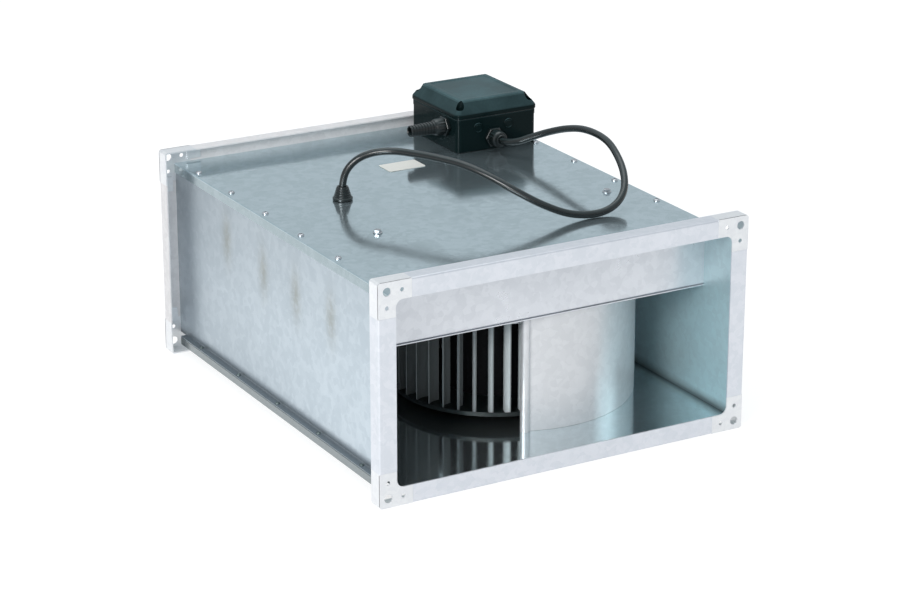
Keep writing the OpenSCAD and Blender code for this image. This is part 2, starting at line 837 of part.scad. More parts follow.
// The fixed flange of the motor, with the tube that carries bearings and core and the cable's bush
module stator_flange() color(dark_steel) {
    on_axis() difference() {
        union() {
            translate([0, 0, flange_z0]) cylinder(r = motor_flange_r, h = motor_flange_t);
            translate([0, 0, tube_z0]) cylinder(r = tube_r, h = flange_z0 - tube_z0);
            translate([0, lead_y, flange_z1]) cylinder(r = lead_bush_r, h = lead_bush_h);
        }
        translate([0, 0, tube_z0 - over]) cylinder(r = shaft_r + 4, h = flange_z1 - tube_z0 + 2 * over);
        translate([0, 0, tube_z0 - over]) cylinder(r = bearing_r, h = bearing_w + over);
        translate([0, 0, upper_bearing_z0]) cylinder(r = bearing_r, h = flange_z1 - upper_bearing_z0 + over);
        translate([0, lead_y, flange_z0 - over])
            cylinder(r = cable_hole_r, h = motor_flange_t + lead_bush_h + 2 * over);
        translate([-axis_x, -axis_y, 0])
            at_flange_screws() drill(flange_screw_d, flange_z0, flange_z1);
    }
}

// One half of the support strap from the middle of its seat to the foot under the cover, in X and Z
module half_strap() {
    square_to([0, flange_z1], [seat_half, flange_z1 + strap_t]);
    square_to([seat_half - strap_t, flange_z1], [seat_half, shoulder_z + strap_t]);
    square_to([seat_half - strap_t, shoulder_z], [leg_half, shoulder_z + strap_t]);
    square_to([leg_half - strap_t, shoulder_z], [leg_half, cover_z]);
    square_to([leg_half - strap_t, cover_z - strap_t], [foot_half, cover_z]);
}

module square_to(low, high) translate(low) square(high - low);

module motor_support() color(galvanised) {
    difference() {
        on_axis() along_y(-strap_w / 2, strap_w / 2) for (s = [0, 1]) mirror([s, 0]) half_strap();
        on_axis() translate([0, 0, flange_z1 - over]) cylinder(r = clip_r + 1, h = strap_t + 2 * over);
        at_flange_screws() drill(flange_screw_d, flange_z1, flange_z1 + strap_t);
        at_support_screws() drill(support_screw_d, cover_z - strap_t, cover_z);
    }
}

module motor_flange_screws() color(plain_steel) {
    at_flange_screws()
        screw(flange_screw_d, middle_head_r, middle_head_h, strap_t + motor_flange_t, flange_z1 + strap_t);
}

module support_screws() color(bright_zinc) {
    at_support_screws()
        screw(support_screw_d, large_head_r, large_head_h, sheet_t + strap_t + screw_past, top_z);
}

// Terminal box

// A rounded rectangle between two heights, a margin wider than the base on each side
module box_slab(margin, z0, z1) {
    r = max(box_round + margin, 1);
    x = box_w / 2 + margin;
    y = box_d / 2 + margin;
    translate([box_x, box_y, z0]) linear_extrude(z1 - z0) {
        square([2 * (x - r), 2 * y], center = true);
        square([2 * x, 2 * (y - r)], center = true);
        for (s = corner_signs) translate([s[0] * (x - r), s[1] * (y - r)]) circle(r);
    }
}

// The lid's outline at one height, with its corners cut off
module lid_slab(margin, cut, z0, z1) {
    x = box_w / 2 + margin;
    y = box_d / 2 + margin;
    translate([box_x, box_y, z0]) linear_extrude(z1 - z0) polygon([
        [cut - x, -y], [x - cut, -y], [x, cut - y], [x, y - cut],
        [x - cut, y], [cut - x, y], [-x, y - cut], [-x, cut - y]]);
}

module terminal_box_base() color(black_plastic) {
    left_x = box_x - box_w / 2;
    front_y = box_y - box_d / 2;
    difference() {
        union() {
            difference() {
                box_slab(0, top_z, rim_z);
                box_slab(-box_wall, top_z + box_wall, rim_z + over);
            }
            intersection() {
                at_box_posts() translate([0, 0, top_z]) cylinder(r = post_r, h = box_h);
                box_slab(-0.5, top_z, rim_z);
            }
        }
        at_box_posts() translate([0, 0, rim_z - lid_screw_len])
            cylinder(r = lid_screw_d / 2 + near_gap, h = lid_screw_len + over);
        at_box_screws() drill(box_screw_d, top_z, top_z + box_wall);
        translate([motor_gland_x, front_y - over, motor_gland_z]) rotate([-90, 0, 0])
            cylinder(r = gland_thread_r + seat_gap, h = box_wall + 2 * over);
        translate([left_x - over, mains_gland_y, mains_gland_z]) rotate([0, 90, 0])
            cylinder(r = gland_thread_r + seat_gap, h = box_wall + 2 * over);
        for (x = plug_x) translate([x, front_y - over, plug_z]) rotate([-90, 0, 0])
            cylinder(r = plug_r + seat_gap, h = plug_sink + over);
    }
}

// The drawn-in lid, with a walled well over each screw post
module terminal_box_lid() color(black_plastic) {
    difference() {
        hull() {
            lid_slab(lid_over, lid_cut, lid_z0, lid_z0 + lid_skirt);
            lid_slab(-lid_draw, lid_cut, lid_z0, lid_z1);
        }
        difference() {
            hull() {
                lid_slab(lid_over - box_wall, lid_cut, lid_z0 - over, lid_z0 + lid_skirt - box_wall / 2);
                lid_slab(-lid_draw - box_wall, lid_cut, lid_z0 - over, lid_z1 - box_wall);
            }
            at_box_posts() translate([0, 0, lid_z0 - 2 * over]) cylinder(r = well_wall_r, h = 2 * lid_h);
        }
        at_box_posts() translate([0, 0, well_z]) cylinder(r = well_r, h = lid_h);
        at_box_posts() drill(lid_screw_d, lid_z0, well_z);
    }
}

module lid_gasket() color(black_rubber) {
    difference() {
        box_slab(-near_gap, rim_z, lid_z0);
        box_slab(near_gap - box_wall, rim_z - over, lid_z0 + over);
        at_box_posts() translate([0, 0, rim_z - over]) cylinder(r = post_r + near_gap, h = gasket_t + 2 * over);
    }
}

module lid_screws() color(plain_steel) {
    at_box_posts() screw(lid_screw_d, 3.2, 2.6, well_z - rim_z + lid_screw_len - 4, well_z);
}

module knockout_plugs() color(black_plastic) {
    for (x = plug_x) translate([x, box_y - box_d / 2 - plug_sink, plug_z]) rotate([-90, 0, 0])
        cylinder(r = plug_r, h = 2 * plug_sink);
}

module box_screws() color(plain_steel) {
    at_box_screws()
        screw(box_screw_d, small_head_r, small_head_h, box_wall + sheet_t + screw_past, inside_z);
}

module terminal_block() color(cream) {
    difference() {
        span([block_x - block_w / 2, block_y - block_d / 2, inside_z],
             [block_x + block_w / 2, block_y + block_d / 2, inside_z + block_h]);
        at_poles() cylinder(r = pole_r + hole_gap, h = pole_depth + over);
    }
}

// Bottoms of the block's screw holes
module at_poles() {
    for (i = [0:block_poles - 1])
        translate([block_x + (i + 0.5 - block_poles / 2) * pole_pitch, block_y, inside_z + block_h - pole_depth])
            children();
}

module terminal_screws() color(brass) {
    at_poles() cylinder(r = pole_r, h = pole_screw_h);
}

// The run capacitor lies along X
module run_capacitor() color(bright_zinc) {
    translate([can_x - can_len / 2, can_y, inside_z + can_r]) rotate([0, 90, 0]) cylinder(r = can_r, h = can_len);
}

module capacitor_clip() color(plain_steel) {
    translate([can_x - clip_w / 2, can_y, inside_z]) difference() {
        translate([0, 0, can_r]) rotate([0, 90, 0]) cylinder(r = can_r + clip_wall, h = clip_w);
        translate([-over, 0, can_r]) rotate([0, 90, 0])
            cylinder(r = can_r + seat_gap, h = clip_w + 2 * over);
        span([-over, -2 * can_r, -2 * can_r], [clip_w + over, 2 * can_r, 0]);
    }
}

module earth_stud() color(brass) {
    nut_h = 3;
    translate([box_x - box_w / 2 + stud_in, box_y - stud_front, inside_z]) {
        cylinder(r = 4.5, h = nut_h, $fn = 6);
        translate([0, 0, nut_h]) cylinder(r = 2.5, h = 9);
    }
}

// A cable gland along +Z from the wall of the box: hexagon, domed nut and a tapered kink guard outside,
// and a threaded tail through the wall
module gland(len_out, bore_r) {
    nut_end = gland_hex_t + gland_nut_len;
    difference() {
        union() {
            cylinder(r = gland_hex_r, h = gland_hex_t, $fn = 6);
            rotate_extrude() polygon([
                [0, gland_hex_t], [gland_nut_r, gland_hex_t], [gland_nut_r, nut_end - 3],
                [gland_tip_r + 1.5, nut_end], [gland_tip_r, nut_end], [gland_tip_r - 1, len_out], [0, len_out]]);
            translate([0, 0, -box_wall - gland_tail]) cylinder(r = gland_thread_r, h = box_wall + gland_tail);
        }
        translate([0, 0, -box_wall - gland_tail - over])
            cylinder(r = bore_r, h = box_wall + gland_tail + len_out + 2 * over);
    }
}

module at_motor_gland() {
    translate([motor_gland_x, box_y - box_d / 2, motor_gland_z]) rotate([90, 0, 0]) children();
}

module at_mains_gland() {
    translate([box_x - box_w / 2, mains_gland_y, mains_gland_z]) rotate([0, -90, 0]) children();
}

module motor_gland() color(black_plastic) at_motor_gland() gland(motor_gland_len, cable_hole_r);

module mains_gland() color(black_plastic) at_mains_gland() gland(mains_gland_len, mains_d / 2);

module locknut() {
    difference() {
        cylinder(r = gland_hex_r - 1, h = locknut_t, $fn = 6);
        translate([0, 0, -over]) cylinder(r = gland_thread_r + seat_gap, h = locknut_t + 2 * over);
    }
}

module gland_locknuts() color(black_plastic) {
    at_motor_gland() translate([0, 0, -box_wall - locknut_t]) locknut();
    at_mains_gland() translate([0, 0, -box_wall - locknut_t]) locknut();
}

// The conical rubber grommet that grips the edge of its hole in the cover
module cable_grommet() color(black_rubber) {
    bore_r = cable_d / 2 + grommet_gap;
    translate([grommet_x, grommet_y, 0]) rotate_extrude() polygon([
        [bore_r, cover_z - grommet_lip], [grommet_base_r, cover_z - grommet_lip], [grommet_base_r, cover_z],
        [grommet_neck_r, cover_z], [grommet_neck_r, top_z], [grommet_base_r, top_z],
        [grommet_base_r, top_z + grommet_lip], [grommet_tip_r, top_z + grommet_h], [bore_r, top_z + grommet_h]]);
}

module motor_cable() color(black_rubber) {
    swept_tube(cable_places(cable_route), cable_d / 2, cable_sides);
}

top_cover();
left_side_panel();
right_side_panel();
bottom_pan();
outlet_rail_top();
outlet_rail_bottom();
outlet_rail_left();
outlet_rail_right();
inlet_rail_top();
inlet_rail_bottom();
inlet_rail_left();
inlet_rail_right();
outlet_corners();
inlet_corners();
closing_panel();
scroll_roof();
scroll_wall();
cutoff_nose();
side_baffle();
inlet_ring();
inlet_ring_screws();
impeller_back_plate();
impeller_blades();
impeller_top_ring();
impeller_screws();
rotor_can();
rotor_cage();
motor_shaft();
shaft_circlip();
lower_bearing();
upper_bearing();
stator_core();
stator_windings();
stator_flange();
motor_support();
motor_flange_screws();
support_screws();
cover_screws();
lip_rivets();
rating_plate();
terminal_box_base();
terminal_box_lid();
lid_gasket();
lid_screws();
knockout_plugs();
terminal_block();
terminal_screws();
run_capacitor();
capacitor_clip();
earth_stud();
box_screws();
motor_gland();
mains_gland();
gland_locknuts();
cable_grommet();
motor_cable();
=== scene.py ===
"""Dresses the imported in-line duct fan: folded zinc sheets, flanges, wheel, motor, terminal box and cable.

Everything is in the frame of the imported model: +Z is up and the outlet faces -Y. Sizes in the classes are in
millimetres, and meshes are written in metres.
"""

from __future__ import annotations

import logging
import math
from collections.abc import Callable, Sequence
from dataclasses import dataclass, field, replace
from enum import Enum

import bmesh
import bpy
from mathutils import Matrix, Vector

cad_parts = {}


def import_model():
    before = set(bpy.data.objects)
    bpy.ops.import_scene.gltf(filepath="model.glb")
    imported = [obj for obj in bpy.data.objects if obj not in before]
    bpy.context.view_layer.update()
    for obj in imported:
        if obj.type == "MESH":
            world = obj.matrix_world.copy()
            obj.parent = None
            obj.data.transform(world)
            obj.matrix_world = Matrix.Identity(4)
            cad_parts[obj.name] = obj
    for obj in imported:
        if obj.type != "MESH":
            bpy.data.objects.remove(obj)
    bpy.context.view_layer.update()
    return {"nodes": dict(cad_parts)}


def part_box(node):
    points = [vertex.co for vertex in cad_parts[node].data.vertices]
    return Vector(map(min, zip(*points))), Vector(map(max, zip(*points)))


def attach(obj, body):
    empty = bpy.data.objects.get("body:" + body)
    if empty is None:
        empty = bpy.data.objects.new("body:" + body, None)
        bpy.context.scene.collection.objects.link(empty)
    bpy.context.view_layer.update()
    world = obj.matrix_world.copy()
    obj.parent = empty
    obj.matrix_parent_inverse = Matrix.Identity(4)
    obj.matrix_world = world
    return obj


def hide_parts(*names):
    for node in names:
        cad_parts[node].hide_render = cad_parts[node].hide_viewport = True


log = logging.getLogger("duct_fan")

MM = 0.001
TURN = 2 * math.pi
UP = Vector((0, 0, 1))

Point2 = tuple[float, float]
Point3 = tuple[float, float, float]
Colour = tuple[float, float, float]
Socket = bpy.types.NodeSocket
Radius = Callable[[float], float]
Level = tuple[Radius | float, float]
Place = Callable[[Point2, float], Vector]
Shift = Callable[[Vector], Vector]
Mask = Callable[[Vector], float]


class Body(Enum):
    """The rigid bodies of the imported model."""

    CASING = "casing"
    IMPELLER = "impeller"
    LID = "box_lid"


class End(Enum):
    """The two ends of the casing, by the way each flange faces along Y."""

    OUTLET = -1
    INLET = 1


class Side(Enum):
    """The four sides of the casing."""

    BOTTOM = "bottom"
    TOP = "top"
    LEFT = "left"
    RIGHT = "right"


class TreeKind(Enum):
    """The kinds of node tree that the script builds."""

    SHADER = "ShaderNodeTree"
    GEOMETRY = "GeometryNodeTree"


# Lines and outlines


def spread(low: float, high: float, parts: int) -> list[float]:
    """Even places from low to high, with a number of gaps between them."""
    return [low + (high - low) * k / parts for k in range(parts + 1)]


def stations(low: float, high: float, step: float) -> list[float]:
    """Even places from low to high, at most a step apart."""
    return spread(low, high, max(1, math.ceil((high - low) / step)))


def turns(count: int) -> list[float]:
    """Even angles of a full turn."""
    return [TURN * i / count for i in range(count)]


def polar(radius: float, angle: float) -> Point2:
    """A point by its distance and angle from the origin."""
    return radius * math.cos(angle), radius * math.sin(angle)


def rounded(
    points: Sequence[Point2], radii: Sequence[float], closed: bool = False, steps: int = 6
) -> list[Point2]:
    """Rounds the corners of a line.

    Args:
        points: The corners of the line.
        radii: One radius for each corner; 0 keeps it sharp. An open line's ends keep theirs.
        closed: Whether the last corner joins the first.
        steps: Segments in each arc.

    Returns:
        The rounded line.
    """
    line: list[Point2] = []
    count = len(points)
    for i, here in enumerate(points):
        inner = closed or 0 < i < count - 1
        if not inner or radii[i] <= 0:
            line.append(here)
            continue
        corner = Vector(here)
        before = (Vector(points[i - 1]) - corner).normalized()
        after = (Vector(points[(i + 1) % count]) - corner).normalized()
        half = before.angle(after) / 2
        centre = corner + (before + after).normalized() * (radii[i] / math.sin(half))
        reach = radii[i] / math.tan(half)
        first = corner + before * reach - centre
        last = corner + after * reach - centre
        turn = math.remainder(math.atan2(last.y, last.x) - math.atan2(first.y, first.x), TURN)
        for share in spread(0, turn, steps):
            spoke = Matrix.Rotation(share, 2) @ first
            line.append((centre.x + spoke.x, centre.y + spoke.y))
    return line


def evened(line: Sequence[Point2], step: float) -> list[Point2]:
    """Adds points to an open line, so that no stretch is longer than a step.

    Args:
        line: The line.
        step: The longest stretch that stays.

    Returns:
        The finer line.
    """
    fine = [line[0]]
    for a, b in zip(line, line[1:]):
        parts = max(1, math.ceil(math.dist(a, b) / step))
        fine += list(zip(spread(a[0], b[0], parts), spread(a[1], b[1], parts)))[1:]
    return fine


def beside(line: Sequence[Point2], distance: float) -> list[Point2]:
    """Moves an open line to the right of its own direction.

    Args:
        line: The line.
        distance: How far it moves; negative is to the left.

    Returns:
        The line beside it.
    """
    least_mitre = 0.2
    ways = [(Vector(b) - Vector(a)).normalized() for a, b in zip(line, line[1:])]
    moved = []
    for i, here in enumerate(line):
        before, after = ways[max(i - 1, 0)], ways[min(i, len(ways) - 1)]
        middle = (before + after).normalized()
        reach = distance / max(middle.dot(after), least_mitre)
        moved.append((here[0] + middle.y * reach, here[1] - middle.x * reach))
    return moved


def rounded_rect(width: float, depth: float, radius: float) -> list[Point2]:
    """A rectangle about the origin with round corners, anticlockwise."""
    x, y = width / 2, depth / 2
    return rounded([(-x, -y), (x, -y), (x, y), (-x, y)], [radius] * 4, closed=True, steps=7)


def circle(x: float, y: float, radius: float, points: int = 32) -> list[Point2]:
    """A round outline about a point."""
    return [(x + dx, y + dy) for dx, dy in (polar(radius, a) for a in turns(points))]


def hex_r(radius: float) -> Radius:
    """A six-sided section, by its corner radius."""
    return lambda angle: radius * math.cos(math.pi / 6) / math.cos(angle % (math.pi / 3) - math.pi / 6)


def ribbed_r(radius: float, depth: float, count: int) -> Radius:
    """A section with grip ribs round it."""
    return lambda angle: radius + depth * math.cos(count * angle)


def along_y(side: int = 1, middle: float = 0.0) -> Place:
    """Stands a section of x and z along Y: about a middle, and mirrored where the side is -1."""
    return lambda p, s: Vector((middle + side * p[0], s, p[1]))


def along_z(point: Point2, z: float) -> Vector:
    """Stands a section of x and y along Z."""
    return Vector((*point, z))


def fade(value: float, low: float, high: float, width: float) -> float:
    """0 at both ends of a span, rising to 1 over a width inside it."""
    return max(0.0, min(1.0, (value - low) / width, (high - value) / width))


def ripple(u: float, v: float, phase: float) -> float:
    """A soft uneven wave over a sheet, from -1 to 1.

    Args:
        u: The place along the sheet, in millimetres.
        v: The place across it, in millimetres.
        phase: Where the wave starts.

    Returns:
        The sum of a broad, a middle and a short wave.
    """
    broad = math.sin(u / 61 + phase) * math.sin(v / 83 + 2.1 * phase)
    middle = math.sin(u / 37 - v / 52 + 3.7 * phase)
    short = math.sin(u / 23 + v / 31 + 1.3 * phase)
    return 0.5 * broad + 0.3 * middle + 0.2 * short


@dataclass(frozen=True)
class Wave:
    """A gentle unevenness over a sheet, which leaves the sheet's edges as they are.

    Attributes:
        height: Its height.
        phase: Where its ripples start.
        fades: The widths over which it rises from the edges, on its first and its second axis.
        sink: How far it lies below its middle on the whole, as a share of its height.
        squeeze: How much closer its ripples are on the second axis.
    """

    height: float
    phase: float
    fades: Point2
    sink: float = 0.0
    squeeze: float = 1.0

    def at(self, place: Point2, low: Point2, high: Point2) -> float:
        """The height at a place between the lowest and the highest corner of a sheet."""
        room = math.prod(fade(*span) for span in zip(place, low, high, self.fades))
        return self.height * room * (ripple(place[0], self.squeeze * place[1], self.phase) - self.sink)


# Meshes


def linked(name: str, data: bpy.types.ID) -> bpy.types.Object:
    """Makes an object for a block of data and links it to the scene.

    Args:
        name: The object's name.
        data: Its mesh, curve, light or camera.

    Returns:
        The object.
    """
    made = bpy.data.objects.new(name, data)
    bpy.context.collection.objects.link(made)
    return made


@dataclass
class Shape:
    """Vertices and faces that are gathered for one mesh, in millimetres."""

    verts: list[Vector] = field(default_factory=list)
    faces: list[tuple[int, ...]] = field(default_factory=list)

    @classmethod
    def taken(cls, piece: bpy.types.Object) -> Shape:
        """Takes an object's mesh back as a shape, and removes the object.

        Args:
            piece: The object, in metres.

        Returns:
            Its shape.
        """
        mesh = piece.data
        shape = cls([v.co / MM for v in mesh.vertices], [tuple(p.vertices) for p in mesh.polygons])
        bpy.data.objects.remove(piece)
        return shape

    def join(self, other: Shape) -> Shape:
        """Adds another shape to this one.

        Args:
            other: The other shape, which stays as it is.

        Returns:
            This shape.
        """
        base = len(self.verts)
        self.verts += other.verts
        self.faces += [tuple(base + i for i in face) for face in other.faces]
        return self

    def moved(self, change: Matrix) -> Shape:
        """This shape with each vertex changed by a matrix."""
        return Shape([change @ v for v in self.verts], list(self.faces))

    def object(self, name: str, smooth_deg: float = 32) -> bpy.types.Object:
        """Makes the mesh and its object, with doubles merged and faces turned outwards.

        Args:
            name: The object's name.
            smooth_deg: Edges sharper than this stay sharp.

        Returns:
            The object, linked to the scene.
        """
        mesh = bpy.data.meshes.new(name)
        mesh.from_pydata([v * MM for v in self.verts], [], self.faces)
        work = bmesh.new()
        work.from_mesh(mesh)
        bmesh.ops.remove_doubles(work, verts=work.verts, dist=1e-6)
        bmesh.ops.recalc_face_normals(work, faces=work.faces)
        work.to_mesh(mesh)
        work.free()
        made = linked(name, mesh)
        shade(made, smooth_deg)
        return made


def folded_sheet(
    line: Sequence[Point2], thick: float, places: Sequence[float], place: Place, shift: Shift | None = None
) -> Shape:
    """A folded sheet: a line drawn along places, with its thickness to the right of the line.

    Args:
        line: The sheet's section.
        thick: Its thickness; negative is to the left of the line.
        places: Where the section stands along the sheet.
        place: Gives the point in space for a point of the section at a place.
        shift: Moves a finished point, for a gentle wave in the sheet.

    Returns:
        The closed sheet.
    """
    section = [*line, *beside(line, thick)]
    n, ring = len(line), len(section)
    verts = [place(p, s) for s in places for p in section]
    if shift:
        verts = [shift(v) for v in verts]
    faces: list[tuple[int, ...]] = []
    for k in range(len(places) - 1):
        a, b = k * ring, (k + 1) * ring
        for i in range(n - 1):
            faces.append((a + i, a + i + 1, b + i + 1, b + i))
            faces.append((a + n + i + 1, a + n + i, b + n + i, b + n + i + 1))
        faces.append((a + n, a, b, b + n))
        faces.append((a + n - 1, a + ring - 1, b + ring - 1, b + n - 1))
    for a in (0, (len(places) - 1) * ring):
        faces += [(a + i, a + n + i, a + n + i + 1, a + i + 1) for i in range(n - 1)]
    return Shape(verts, faces)


def stacked(loops: Sequence[Sequence[Vector]], ring: bool = False) -> Shape:
    """Joins loops of equal count into a skin.

    Args:
        loops: The loops in order.
        ring: Whether the last loop joins the first; otherwise both are capped.

    Returns:
        The closed skin.
    """
    n = len(loops[0])
    last = len(loops) - 1
    pairs = [(k, k + 1) for k in range(last)] + ([(last, 0)] if ring else [])
    faces: list[tuple[int, ...]] = []
    for a, b in pairs:
        faces += [(a * n + i, a * n + (i + 1) % n, b * n + (i + 1) % n, b * n + i) for i in range(n)]
    if not ring:
        faces += [tuple(reversed(range(n))), tuple(last * n + i for i in range(n))]
    return Shape([v for loop in loops for v in loop], faces)


def turned(levels: Sequence[Level], points: int = 72, capped: bool = False) -> Shape:
    """A shape about Z from a list of sections.

    Args:
        levels: Radius, as a number or as a function of the angle, and height of each section.
        points: Points round each section.
        capped: Whether the first and the last section are capped; otherwise they join as a ring.

    Returns:
        The closed shape.
    """
    loops = []
    for radius, z in levels:
        spots = [polar(radius(a) if callable(radius) else radius, a) for a in turns(points)]
        loops.append([along_z(spot, z) for spot in spots])
    return stacked(loops, ring=not capped)


def rod(radius: float, low: float, high: float, points: int = 48) -> Shape:
    """A plain round rod about Z."""
    return turned([(radius, low), (radius, high)], points, capped=True)


def ringed(
    ring: Sequence[Point2], count: int, start: float, end: float, widest: float, narrowest: float
) -> list[Level]:
    """A tapering sleeve of rings, as sections for a turned shape.

    Args:
        ring: One ring: how far each of its points lies inside the sleeve, and its share of the pitch.
        count: The number of rings.
        start: The height where the first ring starts.
        end: The height where the last ring ends.
        widest: The radius at the start.
        narrowest: The radius at the end.

    Returns:
        The sections.
    """
    pitch = (end - start) / count
    radii = spread(widest, narrowest, count)
    return [(radii[k] - inside, start + (k + share) * pitch) for k in range(count) for inside, share in ring]


def plate(outline: Sequence[Point2], holes: Sequence[Sequence[Point2]], thick: float, edge: float) -> Shape:
    """A flat plate in XY with holes and rounded edges, from z = 0 upwards.

    Args:
        outline: Its outline.
        holes: The outlines of its holes.
        thick: Its thickness.
        edge: The radius of its edges.

    Returns:
        The plate.
    """
    curve = bpy.data.curves.new("plate", "CURVE")
    curve.dimensions = "2D"
    curve.fill_mode = "BOTH"
    curve.extrude = thick / 2 - edge
    curve.bevel_depth = edge
    curve.bevel_resolution = 1
    curve.offset = -edge
    for loop in [outline, *holes]:
        spline = curve.splines.new("POLY")
        spline.points.add(len(loop) - 1)
        spline.use_cyclic_u = True
        for point, (x, y) in zip(spline.points, loop):
            point.co = (x, y, 0, 1)
    carrier = bpy.data.objects.new("plate", curve)
    mesh = bpy.data.meshes.new_from_object(carrier)
    verts = [v.co + UP * (thick / 2) for v in mesh.vertices]
    shape = Shape(verts, [tuple(p.vertices) for p in mesh.polygons])
    bpy.data.objects.remove(carrier)
    bpy.data.curves.remove(curve)
    bpy.data.meshes.remove(mesh)
    return shape


def block(low: Point3, high: Point3, edge: float) -> Shape:
    """A box with bevelled edges.

    Args:
        low: Its lowest corner.
        high: Its highest corner.
        edge: The width of its bevels.

    Returns:
        The box.
    """
    middle = [(a + b) / 2 for a, b in zip(low, high)]
    width, depth = high[0] - low[0], high[1] - low[1]
    loops = []
    for inset, z in ((edge, low[2]), (0, low[2] + edge), (0, high[2] - edge), (edge, high[2])):
        outline = rounded_rect(width - 2 * inset, depth - 2 * inset, edge + 0.1)
        loops.append([Vector((middle[0] + x, middle[1] + y, z)) for x, y in outline])
    return stacked(loops)


def shade(target: bpy.types.Object, smooth_deg: float) -> None:
    """Shades a mesh smooth, with its large faces flat and its sharp edges kept.

    Args:
        target: The object.
        smooth_deg: Edges sharper than this stay sharp.
    """
    target.data.shade_smooth()
    target.data.set_sharp_from_angle(angle=math.radians(smooth_deg))
    change = target.modifiers.new("flat_faces", "WEIGHTED_NORMAL")
    change.keep_sharp = True
    settle(target)


def cut(target: bpy.types.Object, tool: Shape) -> None:
    """Takes a shape out of an object's mesh.

    Args:
        target: The object.
        tool: The closed shape that is taken out.
    """
    knife = tool.object("knife")
    change = target.modifiers.new("cut", "BOOLEAN")
    change.operation = "DIFFERENCE"
    change.solver = "EXACT"
    change.object = knife
    settle(target)
    bpy.data.objects.remove(knife)


def settle(target: bpy.types.Object) -> None:
    """Turns an object's modifiers into its plain mesh.

    Args:
        target: The object.
    """
    graph = bpy.context.evaluated_depsgraph_get()
    mesh = bpy.data.meshes.new_from_object(target.evaluated_get(graph), depsgraph=graph)
    mesh.name = target.name
    target.modifiers.clear()
    target.data = mesh


def write_mask(piece: bpy.types.Object, name: str, values: Sequence[float]) -> None:
    """Writes a value for each vertex, which a marked zinc finish reads by its name."""
    piece.data.attributes.new(name, "FLOAT", "POINT").data.foreach_set("value", values)


def mark(piece: bpy.types.Object, name: str, mask: Mask) -> None:
    """Writes a mask that is given for points in millimetres."""
    write_mask(piece, name, [mask(v.co / MM) for v in piece.data.vertices])


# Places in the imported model


def span_mm(node: str) -> tuple[Vector, Vector]:
    """A CAD node's lowest and highest corners in millimetres."""
    low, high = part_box(node)
    return Vector(low) / MM, Vector(high) / MM


def middle_mm(node: str) -> Vector:
    """The middle of a CAD node's box in millimetres."""
    low, high = span_mm(node)
    return (low + high) / 2


def wheel_axis() -> Vector:
    """The middle of the wheel in plan, at the height of its back plate."""
    middle = middle_mm("impeller_back_plate")
    return Vector((middle.x, middle.y, span_mm("impeller_back_plate")[0].z))


def two_rows(node: str, inset: float, gaps: int, z: float) -> list[Vector]:
    """Places in two rows along Y, near the sides of a CAD node's box.

    Args:
        node: The CAD node.
        inset: How far the places lie inside its box.
        gaps: The gaps in each row.
        z: The height of the places.

    Returns:
        The places, the left row first.
    """
    low, high = span_mm(node)
    places = spread(low.y + inset, high.y - inset, gaps)
    return [Vector((x, y, z)) for x in (low.x + inset, high.x - inset) for y in places]


# Shader node groups and finishes


class NodeKit:
    """Short calls for building a node tree."""

    def __init__(self, tree: bpy.types.NodeTree) -> None:
        """Keeps the tree that nodes are added to."""
        self.tree = tree

    def node(
        self, kind: str, inputs: dict[str | int, object] | None = None, **settings: object
    ) -> bpy.types.Node:
        """Adds a node.

        Args:
            kind: The node's type.
            inputs: What feeds its inputs, by name or index.
            settings: Its properties.

        Returns:
            The node.
        """
        made = self.tree.nodes.new(kind)
        for key, value in settings.items():
            setattr(made, key, value)
        for key, source in (inputs or {}).items():
            self.feed(source, made.inputs[key])
        return made

    def feed(self, source: object, target: Socket) -> None:
        """Feeds an input.

        Args:
            source: A socket, which is linked, or a plain value, which is set.
            target: The input.
        """
        if isinstance(source, Socket):
            self.tree.links.new(source, target)
        else:
            target.default_value = source

    def math(self, operation: str, a: object, b: object, clamp: bool = False) -> Socket:
        """A Math node's result."""
        return self.node("ShaderNodeMath", {0: a, 1: b}, operation=operation, use_clamp=clamp).outputs[0]

    def plus(self, base: object, value: object, share: float) -> Socket:
        """A base with a share of another value added."""
        return self.math("ADD", base, self.math("MULTIPLY", value, share))

    def ramp(self, value: object, low: float, high: float, to_low: float = 0, to_high: float = 1) -> Socket:
        """A value mapped smoothly from one range to another.

        Args:
            value: The value.
            low: The low end of its range.
            high: The high end of its range.
            to_low: What the low end becomes.
            to_high: What the high end becomes.

        Returns:
            The mapped value.
        """
        inputs = {"Value": value, "From Min": low, "From Max": high, "To Min": to_low, "To Max": to_high}
        return self.node("ShaderNodeMapRange", inputs, interpolation_type="SMOOTHSTEP").outputs["Result"]

    def blend(self, amount: object, a: object, b: object) -> Socket:
        """A mix of two colours, each a socket or a plain colour."""
        first, second = ((*c, 1) if isinstance(c, tuple) else c for c in (a, b))
        return self.node("ShaderNodeMix", {0: amount, 6: first, 7: second}, data_type="RGBA").outputs[2]

    def noise(self, vector: object, scale: object, detail: float = 3, rough: float = 0.55) -> Socket:
        """A noise value."""
        inputs = {"Vector": vector, "Scale": scale, "Detail": detail, "Roughness": rough}
        return self.node("ShaderNodeTexNoise", inputs).outputs["Fac"]

    def stretched(self, vector: object, factors: Point3) -> Socket:
        """Coordinates scaled by a factor on each axis."""
        return self.node("ShaderNodeMapping", {"Vector": vector, "Scale": factors}).outputs["Vector"]


